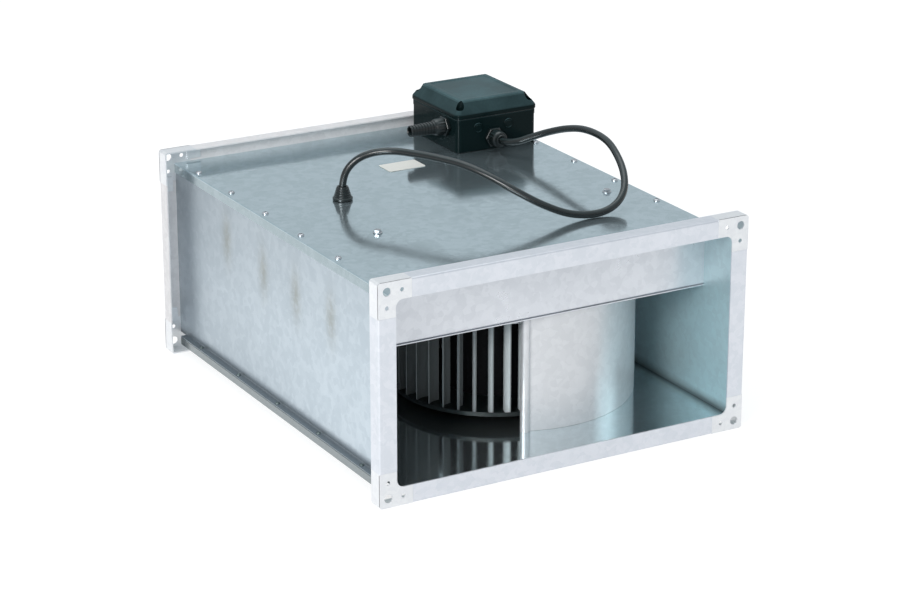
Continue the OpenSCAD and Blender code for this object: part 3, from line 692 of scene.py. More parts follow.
def start_tree(
    name: str, kind: TreeKind, inputs: dict[str, str], outputs: dict[str, str]
) -> tuple[NodeKit, dict[str, Socket], dict[str, Socket]]:
    """Starts a node tree with named sockets.

    Args:
        name: The tree's name.
        kind: Its kind.
        inputs: Name and socket type of each input.
        outputs: Name and socket type of each output.
    """
    tree = bpy.data.node_groups.new(name, kind.value)
    for way, sockets in (("INPUT", inputs), ("OUTPUT", outputs)):
        for label, socket in sockets.items():
            tree.interface.new_socket(label, in_out=way, socket_type=f"NodeSocket{socket}")
    kit = NodeKit(tree)
    entry, leave = kit.node("NodeGroupInput"), kit.node("NodeGroupOutput")
    return kit, {s.name: s for s in entry.outputs}, {s.name: s for s in leave.inputs}


class SharedEffects:
    """Shader groups that more than one finish uses, each built once."""

    def __init__(self) -> None:
        """Builds the groups."""
        self.spangle = self._spangle()
        self.rubs = self._rubs()
        self.film = self._film()
        self.grain = self._grain()

    @staticmethod
    def _start(
        name: str, values: Sequence[str], outputs: Sequence[str]
    ) -> tuple[NodeKit, dict[str, Socket], dict[str, Socket]]:
        """Starts a group with a place and plain values as inputs, and plain values as outputs."""
        inputs = {"Vector": "Vector", **dict.fromkeys(values, "Float")}
        return start_tree(name, TreeKind.SHADER, inputs, dict.fromkeys(outputs, "Float"))

    def _spangle(self) -> bpy.types.NodeTree:
        """The crystals of hot-dip zinc: large and small ones with a tone each, and a fine frost.

        Returns:
            The group.
        """
        kit, given, result = self._start("zinc_spangle", ["Density", "Frost"], ["Tone"])
        place, density = given["Vector"], given["Density"]
        warp = kit.node("ShaderNodeTexNoise", {"Vector": place, "Scale": kit.math("MULTIPLY", density, 0.7)})
        push = (0.006, 0.006, 0.006)
        pushed = kit.node(
            "ShaderNodeVectorMath", {0: warp.outputs["Color"], 1: push, 2: place}, operation="MULTIPLY_ADD"
        )
        tone = kit.math("MULTIPLY", kit.noise(place, given["Frost"], 4, 0.6), 0.25)
        for factor, share in ((1.0, 0.45), (0.43, 0.3)):
            scale = kit.math("MULTIPLY", density, factor)
            cells = kit.node("ShaderNodeTexVoronoi", {"Vector": pushed.outputs[0], "Scale": scale})
            parts = kit.node("ShaderNodeSeparateColor", {0: cells.outputs["Color"]})
            tone = kit.plus(tone, parts.outputs[0], share)
        kit.feed(tone, result["Tone"])
        return kit.tree

    def _rubs(self) -> bpy.types.NodeTree:
        """Fine rubs and drag marks from handling, mostly along one way.

        Returns:
            The group.
        """
        kit, given, result = self._start("rub_marks", ["Density"], ["Mask"])
        place, density = given["Vector"], given["Density"]
        long_way = kit.noise(kit.stretched(place, (1.0, 0.06, 1.0)), density, 2, 0.5)
        cross_way = kit.noise(kit.stretched(place, (0.05, 1.0, 0.4)), density, 2, 0.5)
        patch = kit.ramp(kit.noise(place, 9.0, 2, 0.5), 0.45, 0.7)
        lines = kit.math("MAXIMUM", kit.ramp(long_way, 0.62, 0.78), kit.ramp(cross_way, 0.66, 0.8))
        kit.feed(kit.math("MULTIPLY", lines, patch), result["Mask"])
        return kit.tree

    def _film(self) -> bpy.types.NodeTree:
        """A thin uneven film of dust or oxide, with soft edges.

        Returns:
            The group.
        """
        kit, given, result = self._start("dull_film", ["Size"], ["Mask", "Fine"])
        place, size = given["Vector"], given["Size"]
        broad = kit.ramp(kit.noise(place, size, 4, 0.6), 0.35, 0.72)
        fine = kit.noise(place, kit.math("MULTIPLY", size, 22.0), 3, 0.65)
        kit.feed(kit.math("MULTIPLY", broad, kit.ramp(fine, 0.2, 0.75, 0.55, 1.0)), result["Mask"])
        kit.feed(fine, result["Fine"])
        return kit.tree

    def _grain(self) -> bpy.types.NodeTree:
        """The fine eroded grain of a moulded or cast skin.

        Returns:
            The group.
        """
        kit, given, result = self._start("moulded_grain", ["Density"], ["Height", "Tone"])
        place, density = given["Vector"], given["Density"]
        pits = kit.node("ShaderNodeTexVoronoi", {"Vector": place, "Scale": density}).outputs["Distance"]
        soft = kit.noise(place, kit.math("MULTIPLY", density, 0.4), 3, 0.6)
        kit.feed(kit.plus(kit.math("MULTIPLY", pits, 0.6), soft, 0.5), result["Height"])
        kit.feed(soft, result["Tone"])
        return kit.tree


@dataclass
class Canvas:
    """A new material, as a finish paints it.

    Attributes:
        kit: Calls for its node tree.
        skin: Its shader.
        where: The place on the piece.
        effects: The shared shader groups.
    """

    kit: NodeKit
    skin: bpy.types.Node
    where: Socket
    effects: SharedEffects

    def effect(self, tree: bpy.types.NodeTree, **values: float) -> bpy.types.bpy_prop_collection:
        """Places a shared group with its values, and gives its outputs."""
        return self.kit.node("ShaderNodeGroup", {"Vector": self.where, **values}, node_tree=tree).outputs

    def coat(self, colour: Socket, rough: Socket) -> None:
        """Feeds the shader's colour and roughness."""
        self.kit.feed(colour, self.skin.inputs["Base Color"])
        self.kit.feed(rough, self.skin.inputs["Roughness"])

    def bump(self, height: Socket, strength: float, depth: float) -> None:
        """Adds relief to the shader's normal."""
        relief = self.kit.node("ShaderNodeBump", {"Strength": strength, "Distance": depth, "Height": height})
        self.kit.feed(relief.outputs["Normal"], self.skin.inputs["Normal"])


def darker(colour: Colour, share: float) -> Colour:
    """A share of a colour."""
    return tuple(share * c for c in colour)


@dataclass(frozen=True)
class Finish:
    """A finish on one or more pieces. Colours are linear.

    Attributes:
        name: The material's name.
        slot: The name of a material slot; it is not used.
        pale: Base colour where the surface is light.
        dark: Base colour where it is dull.
        rough: Mean roughness.
    """

    name: str
    slot: str
    pale: Colour
    dark: Colour
    rough: float

    def material(self, effects: SharedEffects) -> bpy.types.Material:
        """Builds the material.

        Args:
            effects: The shared shader groups.

        Returns:
            The material.
        """
        made = bpy.data.materials.new(f"{self.name}_finish")
        made.use_nodes = True
        kit = NodeKit(made.node_tree)
        where = kit.node("ShaderNodeTexCoord").outputs["Object"]
        self.paint(Canvas(kit, made.node_tree.nodes["Principled BSDF"], where, effects))
        return made

    def paint(self, canvas: Canvas) -> None:
        """Feeds the shader. Each kind of finish has its own."""
        raise NotImplementedError


@dataclass(frozen=True)
class ZincFinish(Finish):
    """Hot-dip galvanised sheet.

    Attributes:
        crystal: Crystals in a metre.
        stain: Share of the dull film.
        metal: How far it mirrors like bare metal; the rest is a pale oxide.
        marked: Whether the mesh has a "smear" or "dull" attribute, for weld smears and for stretches darkened
            as painted shade.
    """

    crystal: float = 150
    stain: float = 0.35
    metal: float = 1.0
    marked: bool = False

    FROST = 900.0
    FILM_SIZE = 7.0
    OXIDE_SHARE = 0.86
    # The share of the dark colour that painted shade darkens to.
    SHADE_SHARE = 0.3
    SMEAR_COLOUR = (0.34, 0.33, 0.27)
    SMEAR_COVER = 0.55

    def paint(self, canvas: Canvas) -> None:
        """Crystals, a dull film and smears over bright zinc, and painted shade where the mesh is marked.

        Args:
            canvas: The new material.
        """
        kit, effects = canvas.kit, canvas.effects
        crystals = canvas.effect(effects.spangle, Density=self.crystal, Frost=self.FROST)
        film = canvas.effect(effects.film, Size=self.FILM_SIZE)
        tone = kit.ramp(crystals["Tone"], 0.25, 0.75)
        filmed = kit.math("MULTIPLY", film["Mask"], self.stain)
        colour = kit.blend(tone, self.dark, self.pale)
        colour = kit.blend(filmed, colour, darker(self.dark, self.OXIDE_SHARE))
        rough = kit.plus(kit.plus(self.rough, filmed, 0.25), tone, -0.03)
        if self.marked:
            dull, smear = (
                kit.node("ShaderNodeAttribute", attribute_name=name).outputs["Fac"]
                for name in ("dull", "smear")
            )
            broken = kit.math("MULTIPLY", smear, kit.ramp(film["Fine"], 0.25, 0.6, 0.35, 1.0), clamp=True)
            # Painted shade: marked stretches are darkened towards a share of the dark colour.
            colour = kit.blend(dull, colour, darker(self.dark, self.SHADE_SHARE))
            colour = kit.blend(kit.math("MULTIPLY", broken, self.SMEAR_COVER), colour, self.SMEAR_COLOUR)
            rough = kit.plus(kit.plus(rough, dull, 0.15), broken, 0.2)
        canvas.skin.inputs["Metallic"].default_value = self.metal
        canvas.coat(colour, rough)


@dataclass(frozen=True)
class MouldedFinish(Finish):
    """Moulded plastic, paint or rubber.

    Attributes:
        grain: Grains in a metre.
        relief: Strength of the grain's relief.
        dust_and_top_light: Share of dust and of a painted light on what faces up, which is lighter because of
            how light falls there.
        dust_and_top_light_colour: The colour of that dust and painted light.
        sheen: Level of its mirror at a right angle.
    """

    grain: float = 1500
    relief: float = 0.12
    dust_and_top_light: float = 0.2
    dust_and_top_light_colour: Colour = (0.13, 0.23, 0.25)
    sheen: float = 0.04

    FILM_SIZE = 16.0
    RUBS = 420.0
    GRAIN_DEPTH = 0.0002

    def paint(self, canvas: Canvas) -> None:
        """A grained skin under a little dust and a painted light on what faces up.

        Args:
            canvas: The new material.
        """
        kit, effects = canvas.kit, canvas.effects
        grain = canvas.effect(effects.grain, Density=self.grain)
        film = canvas.effect(effects.film, Size=self.FILM_SIZE)
        rubs = canvas.effect(effects.rubs, Density=self.RUBS)
        normal = kit.node("ShaderNodeNewGeometry").outputs["Normal"]
        # Dust and painted light: what faces up is lightened towards a pale colour.
        facing_up = kit.ramp(kit.node("ShaderNodeSeparateXYZ", {0: normal}).outputs["Z"], 0.3, 0.95)
        patchy = kit.plus(0.4, film["Mask"], 0.35)
        dust_and_top_light_share = kit.math("MULTIPLY", facing_up, kit.math("MULTIPLY", patchy, self.dust_and_top_light))
        colour = kit.blend(dust_and_top_light_share, kit.blend(grain["Tone"], self.dark, self.pale), self.dust_and_top_light_colour)
        rough = kit.plus(kit.plus(self.rough, dust_and_top_light_share, 0.5), rubs["Mask"], 0.1)
        canvas.skin.inputs["Specular IOR Level"].default_value = self.sheen
        canvas.coat(colour, rough)
        canvas.bump(grain["Height"], self.relief, self.GRAIN_DEPTH)


@dataclass(frozen=True)
class MetalFinish(Finish):
    """Plain machined or plated metal.

    Attributes:
        lines: Tool lines in a metre.
    """

    lines: float = 2200

    FILM_SIZE = 45.0
    RUBS = 900.0
    LINE_RELIEF = 0.08
    LINE_DEPTH = 0.0001

    def paint(self, canvas: Canvas) -> None:
        """Fine tool lines and tarnish.

        Args:
            canvas: The new material.
        """
        kit, effects = canvas.kit, canvas.effects
        tarnish = canvas.effect(effects.film, Size=self.FILM_SIZE)["Mask"]
        rubs = canvas.effect(effects.rubs, Density=self.RUBS)["Mask"]
        tooling = kit.noise(kit.stretched(canvas.where, (0.2, 0.2, 1.0)), self.lines, 2, 0.5)
        rough = kit.plus(kit.plus(self.rough, tarnish, 0.15), rubs, 0.12)
        canvas.skin.inputs["Metallic"].default_value = 1.0
        canvas.coat(kit.blend(tarnish, self.pale, self.dark), rough)
        canvas.bump(tooling, self.LINE_RELIEF, self.LINE_DEPTH)


class Finishes:
    """Every finish of the fan."""

    cover = ZincFinish(
        "cover_zinc", "galvanised_sheet", (0.60, 0.72, 0.77), (0.53, 0.65, 0.69), 0.13,
        stain=0.15, metal=0.88, marked=True,
    )
    panel = ZincFinish(
        "panel_zinc", "galvanised_sheet", (0.62, 0.70, 0.76), (0.55, 0.63, 0.69), 0.32,
        stain=0.25, metal=0.82, marked=True,
    )
    # Painted reflection: a teal copy of the panel's zinc, standing in for the dark surroundings that the right
    # panel's inner face mirrors.
    wall = ZincFinish(
        "wall_zinc", "galvanised_sheet", (0.60, 0.79, 0.83), (0.55, 0.72, 0.76), 0.3,
        stain=0.2, metal=0.7, marked=True,
    )
    sheet = ZincFinish(
        "inner_zinc", "galvanised_sheet", (0.80, 0.88, 0.90), (0.75, 0.83, 0.85), 0.12,
        stain=0.1, metal=0.96, marked=True,
    )
    front = ZincFinish(
        "front_zinc", "galvanised_sheet", (0.72, 0.74, 0.78), (0.66, 0.68, 0.72), 0.3, stain=0.12, metal=0.65
    )
    bright = ZincFinish(
        "bright_zinc", "galvanised_sheet", (0.73, 0.74, 0.76), (0.68, 0.69, 0.71), 0.42, stain=0.08, metal=0.5
    )
    flange = ZincFinish(
        "flange_zinc", "flange_zinc", (0.78, 0.80, 0.85), (0.72, 0.75, 0.80), 0.36, 180, 0.15, metal=0.6
    )
    corner = ZincFinish(
        "corner_zinc", "flange_zinc", (0.88, 0.89, 0.90), (0.83, 0.84, 0.86), 0.36, 200, 0.12, metal=0.55
    )
    rear = ZincFinish(
        "rear_zinc", "flange_zinc", (0.84, 0.82, 0.82), (0.78, 0.76, 0.76), 0.4, 180, 0.1, metal=0.15
    )
    wheel = ZincFinish(
        "wheel_zinc", "wheel_zinc", (0.88, 0.95, 0.96), (0.84, 0.91, 0.92), 0.35, 180, 0.08,
        metal=0.15, marked=True,
    )
    # Painted shade: the back plate's zinc is near black, standing in for the shade under the wheel.
    hub_shade = ZincFinish(
        "hub_zinc", "wheel_zinc", (0.02, 0.03, 0.03), (0.015, 0.02, 0.02), 0.45, 180, 0.2, metal=0.2
    )
    screw = MetalFinish("screw_steel", "screw_steel", (0.60, 0.62, 0.65), (0.44, 0.46, 0.48), 0.28)
    rivet = MetalFinish("rivet_zinc", "screw_steel", (0.20, 0.24, 0.24), (0.14, 0.17, 0.17), 0.5)
    steel = MetalFinish("turned_steel", "machined_steel", (0.58, 0.59, 0.61), (0.42, 0.43, 0.45), 0.25)
    brass = MetalFinish("terminal_brass", "terminal_brass", (0.72, 0.52, 0.20), (0.55, 0.40, 0.16), 0.28)
    copper = MetalFinish("coil_copper", "coil_copper", (0.66, 0.30, 0.13), (0.48, 0.20, 0.09), 0.34)
    can = MetalFinish("capacitor_can", "capacitor_can", (0.74, 0.75, 0.77), (0.60, 0.61, 0.63), 0.3)
    motor = MouldedFinish(
        "motor_paint", "motor_paint", (0.020, 0.020, 0.022), (0.010, 0.010, 0.011), 0.38, 900
    )
    # The box's upper faces are lightened strongly: a little dust and a painted light on its top.
    box = MouldedFinish(
        "box_plastic", "box_plastic", (0.005, 0.013, 0.0135), (0.003, 0.008, 0.0085), 0.14,
        1700, 0.03, 0.8, sheen=0.05,
    )
    gland = MouldedFinish(
        "gland_plastic", "gland_plastic", (0.006, 0.009, 0.009), (0.004, 0.006, 0.006), 0.26, sheen=0.6
    )
    rubber = MouldedFinish(
        "black_rubber", "black_rubber", (0.005, 0.008, 0.008), (0.003, 0.005, 0.005), 0.26, 1100, sheen=0.6
    )
    plate = MouldedFinish(
        "plate_white", "plate_white", (0.80, 0.79, 0.74), (0.74, 0.73, 0.68), 0.42, 700, 0.05, 0.04, sheen=0.4
    )
    block = MouldedFinish(
        "block_plastic", "block_plastic", (0.70, 0.67, 0.56), (0.60, 0.57, 0.47), 0.4, 1200,
        dust_and_top_light=0.05, sheen=0.4,
    )


# Repeats


class Repeats:
    """Geometry Nodes trees for what repeats, each built once."""

    SEED = 4

    def __init__(self) -> None:
        """Builds the trees."""
        self.on_points = self._on_points()
        self.round_axis = self._round_axis()

    @staticmethod
    def _start(name: str, **inputs: str) -> tuple[NodeKit, dict[str, Socket], dict[str, Socket]]:
        """Starts a tree with a template, a material and its own inputs."""
        sockets = {"Geometry": "Geometry", "Template": "Object", **inputs, "Finish": "Material"}
        return start_tree(name, TreeKind.GEOMETRY, sockets, {"Geometry": "Geometry"})

    @staticmethod
    def _about_z(kit: NodeKit, angle: Socket) -> Socket:
        """A turn about Z."""
        turn = kit.node("ShaderNodeCombineXYZ", {"Z": angle})
        return kit.node("FunctionNodeEulerToRotation", {0: turn.outputs[0]}).outputs[0]

    @staticmethod
    def _close(
        kit: NodeKit, given: dict[str, Socket], result: dict[str, Socket], points: Socket, turn: Socket
    ) -> bpy.types.NodeTree:
        """Ends a tree in copies of the template, as real meshes with their material.

        Args:
            given: Its input sockets.
            result: Its output sockets.
            points: Where the copies stand.
            turn: How each of them is turned.

        Returns:
            The tree.
        """
        template = kit.node("GeometryNodeObjectInfo", {"Object": given["Template"]}).outputs["Geometry"]
        copies = kit.node(
            "GeometryNodeInstanceOnPoints", {"Points": points, "Instance": template, "Rotation": turn}
        )
        real = kit.node("GeometryNodeRealizeInstances", {"Geometry": copies.outputs["Instances"]})
        dressed = kit.node(
            "GeometryNodeSetMaterial", {"Geometry": real.outputs["Geometry"], "Material": given["Finish"]}
        )
        kit.feed(dressed.outputs["Geometry"], result["Geometry"])
        return kit.tree

    def _on_points(self) -> bpy.types.NodeTree:
        """Sets a template on each vertex, aimed along the vertex's "aim" and spun at random about it.

        Returns:
            The tree.
        """
        kit, given, result = self._start("set_on_points", Seed="Int", Spin="Float")
        aim = kit.node("GeometryNodeInputNamedAttribute", {"Name": "aim"}, data_type="FLOAT_VECTOR")
        way = {"Vector": aim.outputs["Attribute"]}
        aligned = kit.node("FunctionNodeAlignRotationToVector", way, axis="Z")
        chance = kit.node("FunctionNodeRandomValue", {"Seed": given["Seed"]}, data_type="FLOAT")
        least, most = [s for s in chance.inputs if s.enabled][:2]
        kit.feed(0.0, least)
        kit.feed(given["Spin"], most)
        spin = self._about_z(kit, next(s for s in chance.outputs if s.enabled))
        turn = kit.node(
            "FunctionNodeRotateRotation", {"Rotation": aligned.outputs["Rotation"], "Rotate By": spin},
            rotation_space="LOCAL",
        )
        return self._close(kit, given, result, given["Geometry"], turn.outputs["Rotation"])

    def _round_axis(self) -> bpy.types.NodeTree:
        """Sets copies of a template evenly round an upright axis.

        Returns:
            The tree.
        """
        kit, given, result = self._start("round_axis", Count="Int", Axis="Vector")
        places = kit.node(
            "GeometryNodeMeshLine",
            {"Count": given["Count"], "Start Location": given["Axis"], "Offset": (0.0, 0.0, 0.0)},
        )
        share = kit.math("DIVIDE", kit.node("GeometryNodeInputIndex").outputs[0], given["Count"])
        turn = self._about_z(kit, kit.math("MULTIPLY", share, TURN))
        return self._close(kit, given, result, places.outputs["Mesh"], turn)

    @staticmethod
    def run(
        name: str, tree: bpy.types.NodeTree, template: Shape, carrier: bpy.types.Mesh,
        values: dict[str, object],
    ) -> bpy.types.Object:
        """Runs a tree and keeps its result as a plain mesh.

        Args:
            name: The piece's name.
            tree: The tree.
            template: The shape that is repeated.
            carrier: The mesh that the tree starts from.
            values: Values of its named inputs, apart from the template.

        Returns:
            The piece.
        """
        pattern = template.object(f"{name}_template")
        made = linked(name, carrier)
        change = made.modifiers.new("repeat", "NODES")
        change.node_group = tree
        keys = {s.name: s.identifier for s in tree.interface.items_tree if s.in_out == "INPUT"}
        for label, value in {"Template": pattern, **values}.items():
            change[keys[label]] = value
        settle(made)
        bpy.data.objects.remove(pattern)
        return made

    def scatter(
        self, name: str, template: Shape, points: Sequence[Vector], aim: Vector, finish: bpy.types.Material
    ) -> bpy.types.Object:
        """Sets copies of a template on points, each spun at random about its own axis.

        Args:
            name: The piece's name.
            template: The shape, standing on z = 0 along +Z.
            points: Where copies stand, in millimetres.
            aim: The way they point.
            finish: The material.

        Returns:
            The piece.
        """
        carrier = bpy.data.meshes.new(f"{name}_points")
        carrier.from_pydata([p * MM for p in points], [], [])
        aims = carrier.attributes.new("aim", "FLOAT_VECTOR", "POINT")
        aims.data.foreach_set("vector", [*aim] * len(points))
        values = {"Seed": self.SEED, "Spin": TURN, "Finish": finish}
        return self.run(name, self.on_points, template, carrier, values)

    def ring(
        self, name: str, template: Shape, count: int, axis: Vector, finish: bpy.types.Material
    ) -> bpy.types.Object:
        """Sets copies of a template round an upright axis.

        Args:
            name: The piece's name.
            template: The shape, placed as it stands from the axis.
            count: The number of copies.
            axis: A point on the axis, in millimetres.
            finish: The material.

        Returns:
            The piece.
        """
        carrier = bpy.data.meshes.new(f"{name}_start")
        values = {"Count": count, "Axis": tuple(axis * MM), "Finish": finish}
        return self.run(name, self.round_axis, template, carrier, values)


@dataclass
class Workshop:
    """What every sub-assembly uses to dress its pieces.

    Attributes:
        effects: The shared shader groups.
        repeats: The trees for what repeats.
        nodes: The CAD nodes by name.
        skins: The materials that are built, by the name of their finish.
    """

    effects: SharedEffects
    repeats: Repeats
    nodes: dict[str, bpy.types.Object]
    skins: dict[str, bpy.types.Material] = field(default_factory=dict)

    def skin(self, finish: Finish) -> bpy.types.Material:
        """The material of a finish, built at the first call.

        Args:
            finish: The finish.

        Returns:
            The material.
        """
        if finish.name not in self.skins:
            self.skins[finish.name] = finish.material(self.effects)
        return self.skins[finish.name]

    def dress(self, piece: bpy.types.Object, finish: Finish) -> None:
        """Gives an object a finish in all its slots.

        Args:
            piece: The object.
            finish: The finish.
        """
        skin = self.skin(finish)
        if not piece.material_slots:
            piece.data.materials.append(skin)
        for slot in piece.material_slots:
            slot.material = skin

    def fit(self, piece: bpy.types.Object, finish: Finish, body: Body, node: str) -> None:
        """Gives a piece its finish, sets it on its body and lets it stand for a CAD node.

        Args:
            piece: The piece, in place.
            finish: Its finish.
            body: The body it rides on.
            node: The CAD node that it stands for.
        """
        self.dress(piece, finish)
        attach(piece, body.value)
        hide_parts(node)
        log.info("%s rides on %s for %s", piece.name, body.value, node)

    def fasten(
        self, name: str, head: Shape, points: Sequence[Vector], finish: Finish, node: str,
        body: Body = Body.CASING, aim: Vector = UP,
    ) -> None:
        """Sets a small part on each of a row of points.

        Args:
            name: The name of the piece that all of them are.
            head: The part, standing on z = 0 along +Z.
            points: Where the parts stand, in millimetres.
            finish: Their finish.
            node: The CAD node that they stand for.
            body: The body they ride on.
            aim: The way they point.
        """
        piece = self.repeats.scatter(name, head, points, aim, self.skin(finish))
        self.fit(piece, finish, body, node)

    def keep(self, finish: Finish, *names: str) -> None:
        """Gives CAD nodes that stay a finish.

        Args:
            finish: The finish.
            names: The nodes.
        """
        for name in names:
            self.dress(self.nodes[name], finish)
            log.info("%s keeps its solid", name)


# Sub-assemblies


@dataclass(frozen=True)
class ScrewHead:
    """A fastener that stands on z = 0, with its shank below."""

    radius: float
    height: float
    shank: float
    shank_radius: float = 1.9

    # Sections in shares of the head's radius and height.
    DOME = ((1.0, 0.0), (1.0, 0.35), (0.94, 0.62), (0.78, 0.86), (0.5, 0.97), (0.2, 1.0))
    DIMPLE = (*DOME[:4], (0.34, 1.0), (0.28, 0.72), (0.02, 0.7))
    NUT = ((0.5, 1.0), (0.72, 0.98), (0.8, 0.9), (0.8, 0.36))
    COLLAR = ((1.0, 0.22), (1.0, 0.0))
    CROSS_REACH = 0.6
    CROSS_WIDTH = 0.13
    CROSS_DEPTH = 0.5

    CROSS_EDGE = 0.05
    STEM_LAP = 0.05
    MIDDLE_R = 0.02
    HEAD_POINTS = 28
    STEM_POINTS = 20
    RIVET_POINTS = 24
    NUT_POINTS = 36

    def sized(self, section: Sequence[Point2]) -> list[Level]:
        """A section in millimetres."""
        return [(self.radius * r, self.height * z) for r, z in section]

    def cross(self) -> Shape:
        """A pan head with a cross recess, and its shank.

        Returns:
            The fastener.
        """
        head = turned(self.sized(self.DOME), self.HEAD_POINTS, capped=True).object("head")
        reach, width = self.CROSS_REACH * self.radius, self.CROSS_WIDTH * self.radius
        bottom, top = (1 - self.CROSS_DEPTH) * self.height, self.height + 1
        for x, y in ((reach, width), (width, reach)):
            cut(head, block((-x, -y, bottom), (x, y, top), self.CROSS_EDGE))
        stem = rod(self.shank_radius, -self.shank, self.STEM_LAP, self.STEM_POINTS)
        return Shape.taken(head).join(stem)

    def rivet(self) -> Shape:
        """A plain rivet head with a dimple."""
        return turned(self.sized(self.DIMPLE), self.RIVET_POINTS, capped=True)

    def hexagon(self) -> Shape:
        """A six-sided flanged head with its shank.

        Returns:
            The fastener.
        """
        nut = [(hex_r(r), z) for r, z in self.sized(self.NUT)]
        stem = [(self.shank_radius, 0.0), (self.shank_radius, -self.shank), (self.MIDDLE_R, -self.shank)]
        levels = [(self.MIDDLE_R, self.height), *nut, *self.sized(self.COLLAR), *stem]
        return turned(levels, self.NUT_POINTS)


@dataclass
class Casing:
    """The cover, the side panels and the bottom pan."""

    sheet: float = 1.0
    fold: float = 1.6
    lip: float = 8.0
    lip_past_rivets: float = 45.0
    cover_step: float = 8.0
    cover_edge: float = 14.0
    cover_wave: Wave = Wave(0.35, 0.7, (60, 50), sink=0.6)
    cover_screw: ScrewHead = ScrewHead(3.5, 2.2, 6.0)
    cover_screw_gaps: int = 5
    # Share of painted shade on the cover's turned-down edges.
    cover_edge_shade: float = 0.5
    panel_steps: Point2 = (6.0, 5.0)
    panel_edges: Point2 = (8.0, 6.0)
    panel_wave: Wave = Wave(0.55, 1.9, (60, 40), squeeze=1.6)
    # Painted shade on the side panels: shares for the foot lip, the inlet end and the top, the height of the
    # darkened fold, and where the top darkening starts.
    panel_foot_shade: float = 0.75
    panel_inlet_shade: float = 0.35
    panel_top_shade: float = 0.2
    panel_fold_shade: float = 11.0
    panel_shade_from_z: float = 110.0
    pan_step: float = 10.0
    pan_wave: Wave = Wave(0.3, 2.6, (60, 60), sink=0.7)
    # Share of painted shade on the pan's lips.
    pan_lip_shade: float = 0.9
    rivet: ScrewHead = ScrewHead(2.5, 1.6, 0)
    rivet_gaps: int = 4
    length: float = 520.0
    smears: tuple[Point2, ...] = ((126, 170), (37, 159), (-41, 157), (-122, 157))
    smear_size: Point2 = (10.0, 26.0)

    def build(self, shop: Workshop) -> None:
        """Makes and dresses the sheets and their fasteners.

        Args:
            shop: What dresses the pieces.
        """
        shop.fit(self.cover(), Finishes.cover, Body.CASING, "top_cover")
        # The right panel takes the teal copy with its painted reflection.
        for side, finish in ((Side.LEFT, Finishes.panel), (Side.RIGHT, Finishes.wall)):
            shop.fit(self.panel(side), finish, Body.CASING, f"{side.value}_side_panel")
        shop.fit(self.pan(), Finishes.sheet, Body.CASING, "bottom_pan")
        self.fasteners(shop)

    def lip_half(self) -> float:
        """Half the length of the foot lips."""
        return span_mm("lip_rivets")[1].y + self.lip_past_rivets

    def cover(self) -> bpy.types.Object:
        """The cover, with its turned-down edges, painted shade on them, and a slight unevenness.

        Returns:
            The cover.
        """
        low, high = span_mm("top_cover")
        corners = [(low.x, low.z), (low.x, high.z), (high.x, high.z), (high.x, low.z)]
        line = evened(rounded(corners, [0, self.fold, self.fold, 0]), self.cover_step)
        flat_low = (low.x + self.cover_edge, low.y)
        flat_high = (high.x - self.cover_edge, high.y)

        def wave(v: Vector) -> Vector:
            """Lifts and sinks the flat part, and leaves its edges."""
            return v + UP * self.cover_wave.at(v.xy, flat_low, flat_high)

        places = stations(low.y, high.y, self.cover_step)
        made = folded_sheet(line, self.sheet, places, along_y(), wave).object("cover_sheet")
        # Painted shade on the turned-down edges.
        mark(made, "dull", lambda v: self.cover_edge_shade if v.z < high.z - self.fold else 0.0)
        return made

    def panel(self, side: Side) -> bpy.types.Object:
        """A side panel with its top lip, its foot lip, the smears of its weld spots, and painted shade.

        Args:
            side: Left or right.

        Returns:
            The panel.
        """
        node = f"{side.value}_side_panel"
        way = -1 if side is Side.LEFT else 1
        low, high = span_mm(node)
        lip_x, foot_x = sorted((abs(low.x), abs(high.x)))
        web_x = foot_x - self.lip
        web = rounded([(web_x, low.z), (web_x, high.z), (lip_x, high.z)], [0, self.fold, 0])
        foot_z = low.z + self.sheet
        bend = [(web_x, foot_z + self.fold), (web_x, foot_z), (foot_x, foot_z)]
        # A touch tighter than the stretch above it, so that no two points meet.
        foot = rounded(bend, [0, 0.99 * self.fold, 0])
        web_step, step = self.panel_steps
        bottom, top = self.panel_edges
        flat_low, flat_high = (low.y, low.z + bottom), (high.y, high.z - top)
        bulge = replace(self.panel_wave, phase=self.panel_wave.phase + way)

        def wave(v: Vector) -> Vector:
            """Bulges the web a little between its edges."""
            return v + Vector((way * bulge.at(v.yz, flat_low, flat_high), 0, 0))

        places = stations(low.y, high.y, step)
        shape = folded_sheet(evened(web, web_step), -self.sheet, places, along_y(way), wave)
        shape.join(folded_sheet(foot, self.sheet, [-self.lip_half(), self.lip_half()], along_y(way)))
        made = shape.object(f"{node}_sheet")
        mark(made, "smear", self.smear)
        # Painted shade: the foot lip, the fold above it, and more towards the inlet and the top.
        mark(made, "dull", lambda v: self.panel_shade(v, web_x, low.z))
        return made

    def panel_shade(self, at: Vector, web_x: float, foot_z: float) -> float:
        """How much painted shade darkens a point of a side panel: its foot lip, the fold above it, and a
        little towards the inlet and the cover.

        Args:
            at: The point.
            web_x: How far the panel's web stands from the middle.
            foot_z: The height of the panel's foot.

        Returns:
            The share, from 0 to 1.
        """
        if abs(at.x) > web_x + 1.5 * self.sheet:
            return self.panel_foot_shade
        fold_shade = 1.0 - (at.z - foot_z) / self.panel_fold_shade
        inlet = self.panel_inlet_shade * (0.5 + at.y / self.length)
        return max(fold_shade, inlet + self.panel_top_shade * max(0.0, at.z / self.panel_shade_from_z - 1))

    def smear(self, at: Vector) -> float:
        """How strongly a point of a side panel is smeared.

        Args:
            at: The point.

        Returns:
            The share, from 0 to 1.
        """
        width, height = self.smear_size
        spots = [((at.y - y) / width) ** 2 + ((at.z - z) / height) ** 2 for y, z in self.smears]
        return min(1.0, sum(math.exp(-spot) for spot in spots))

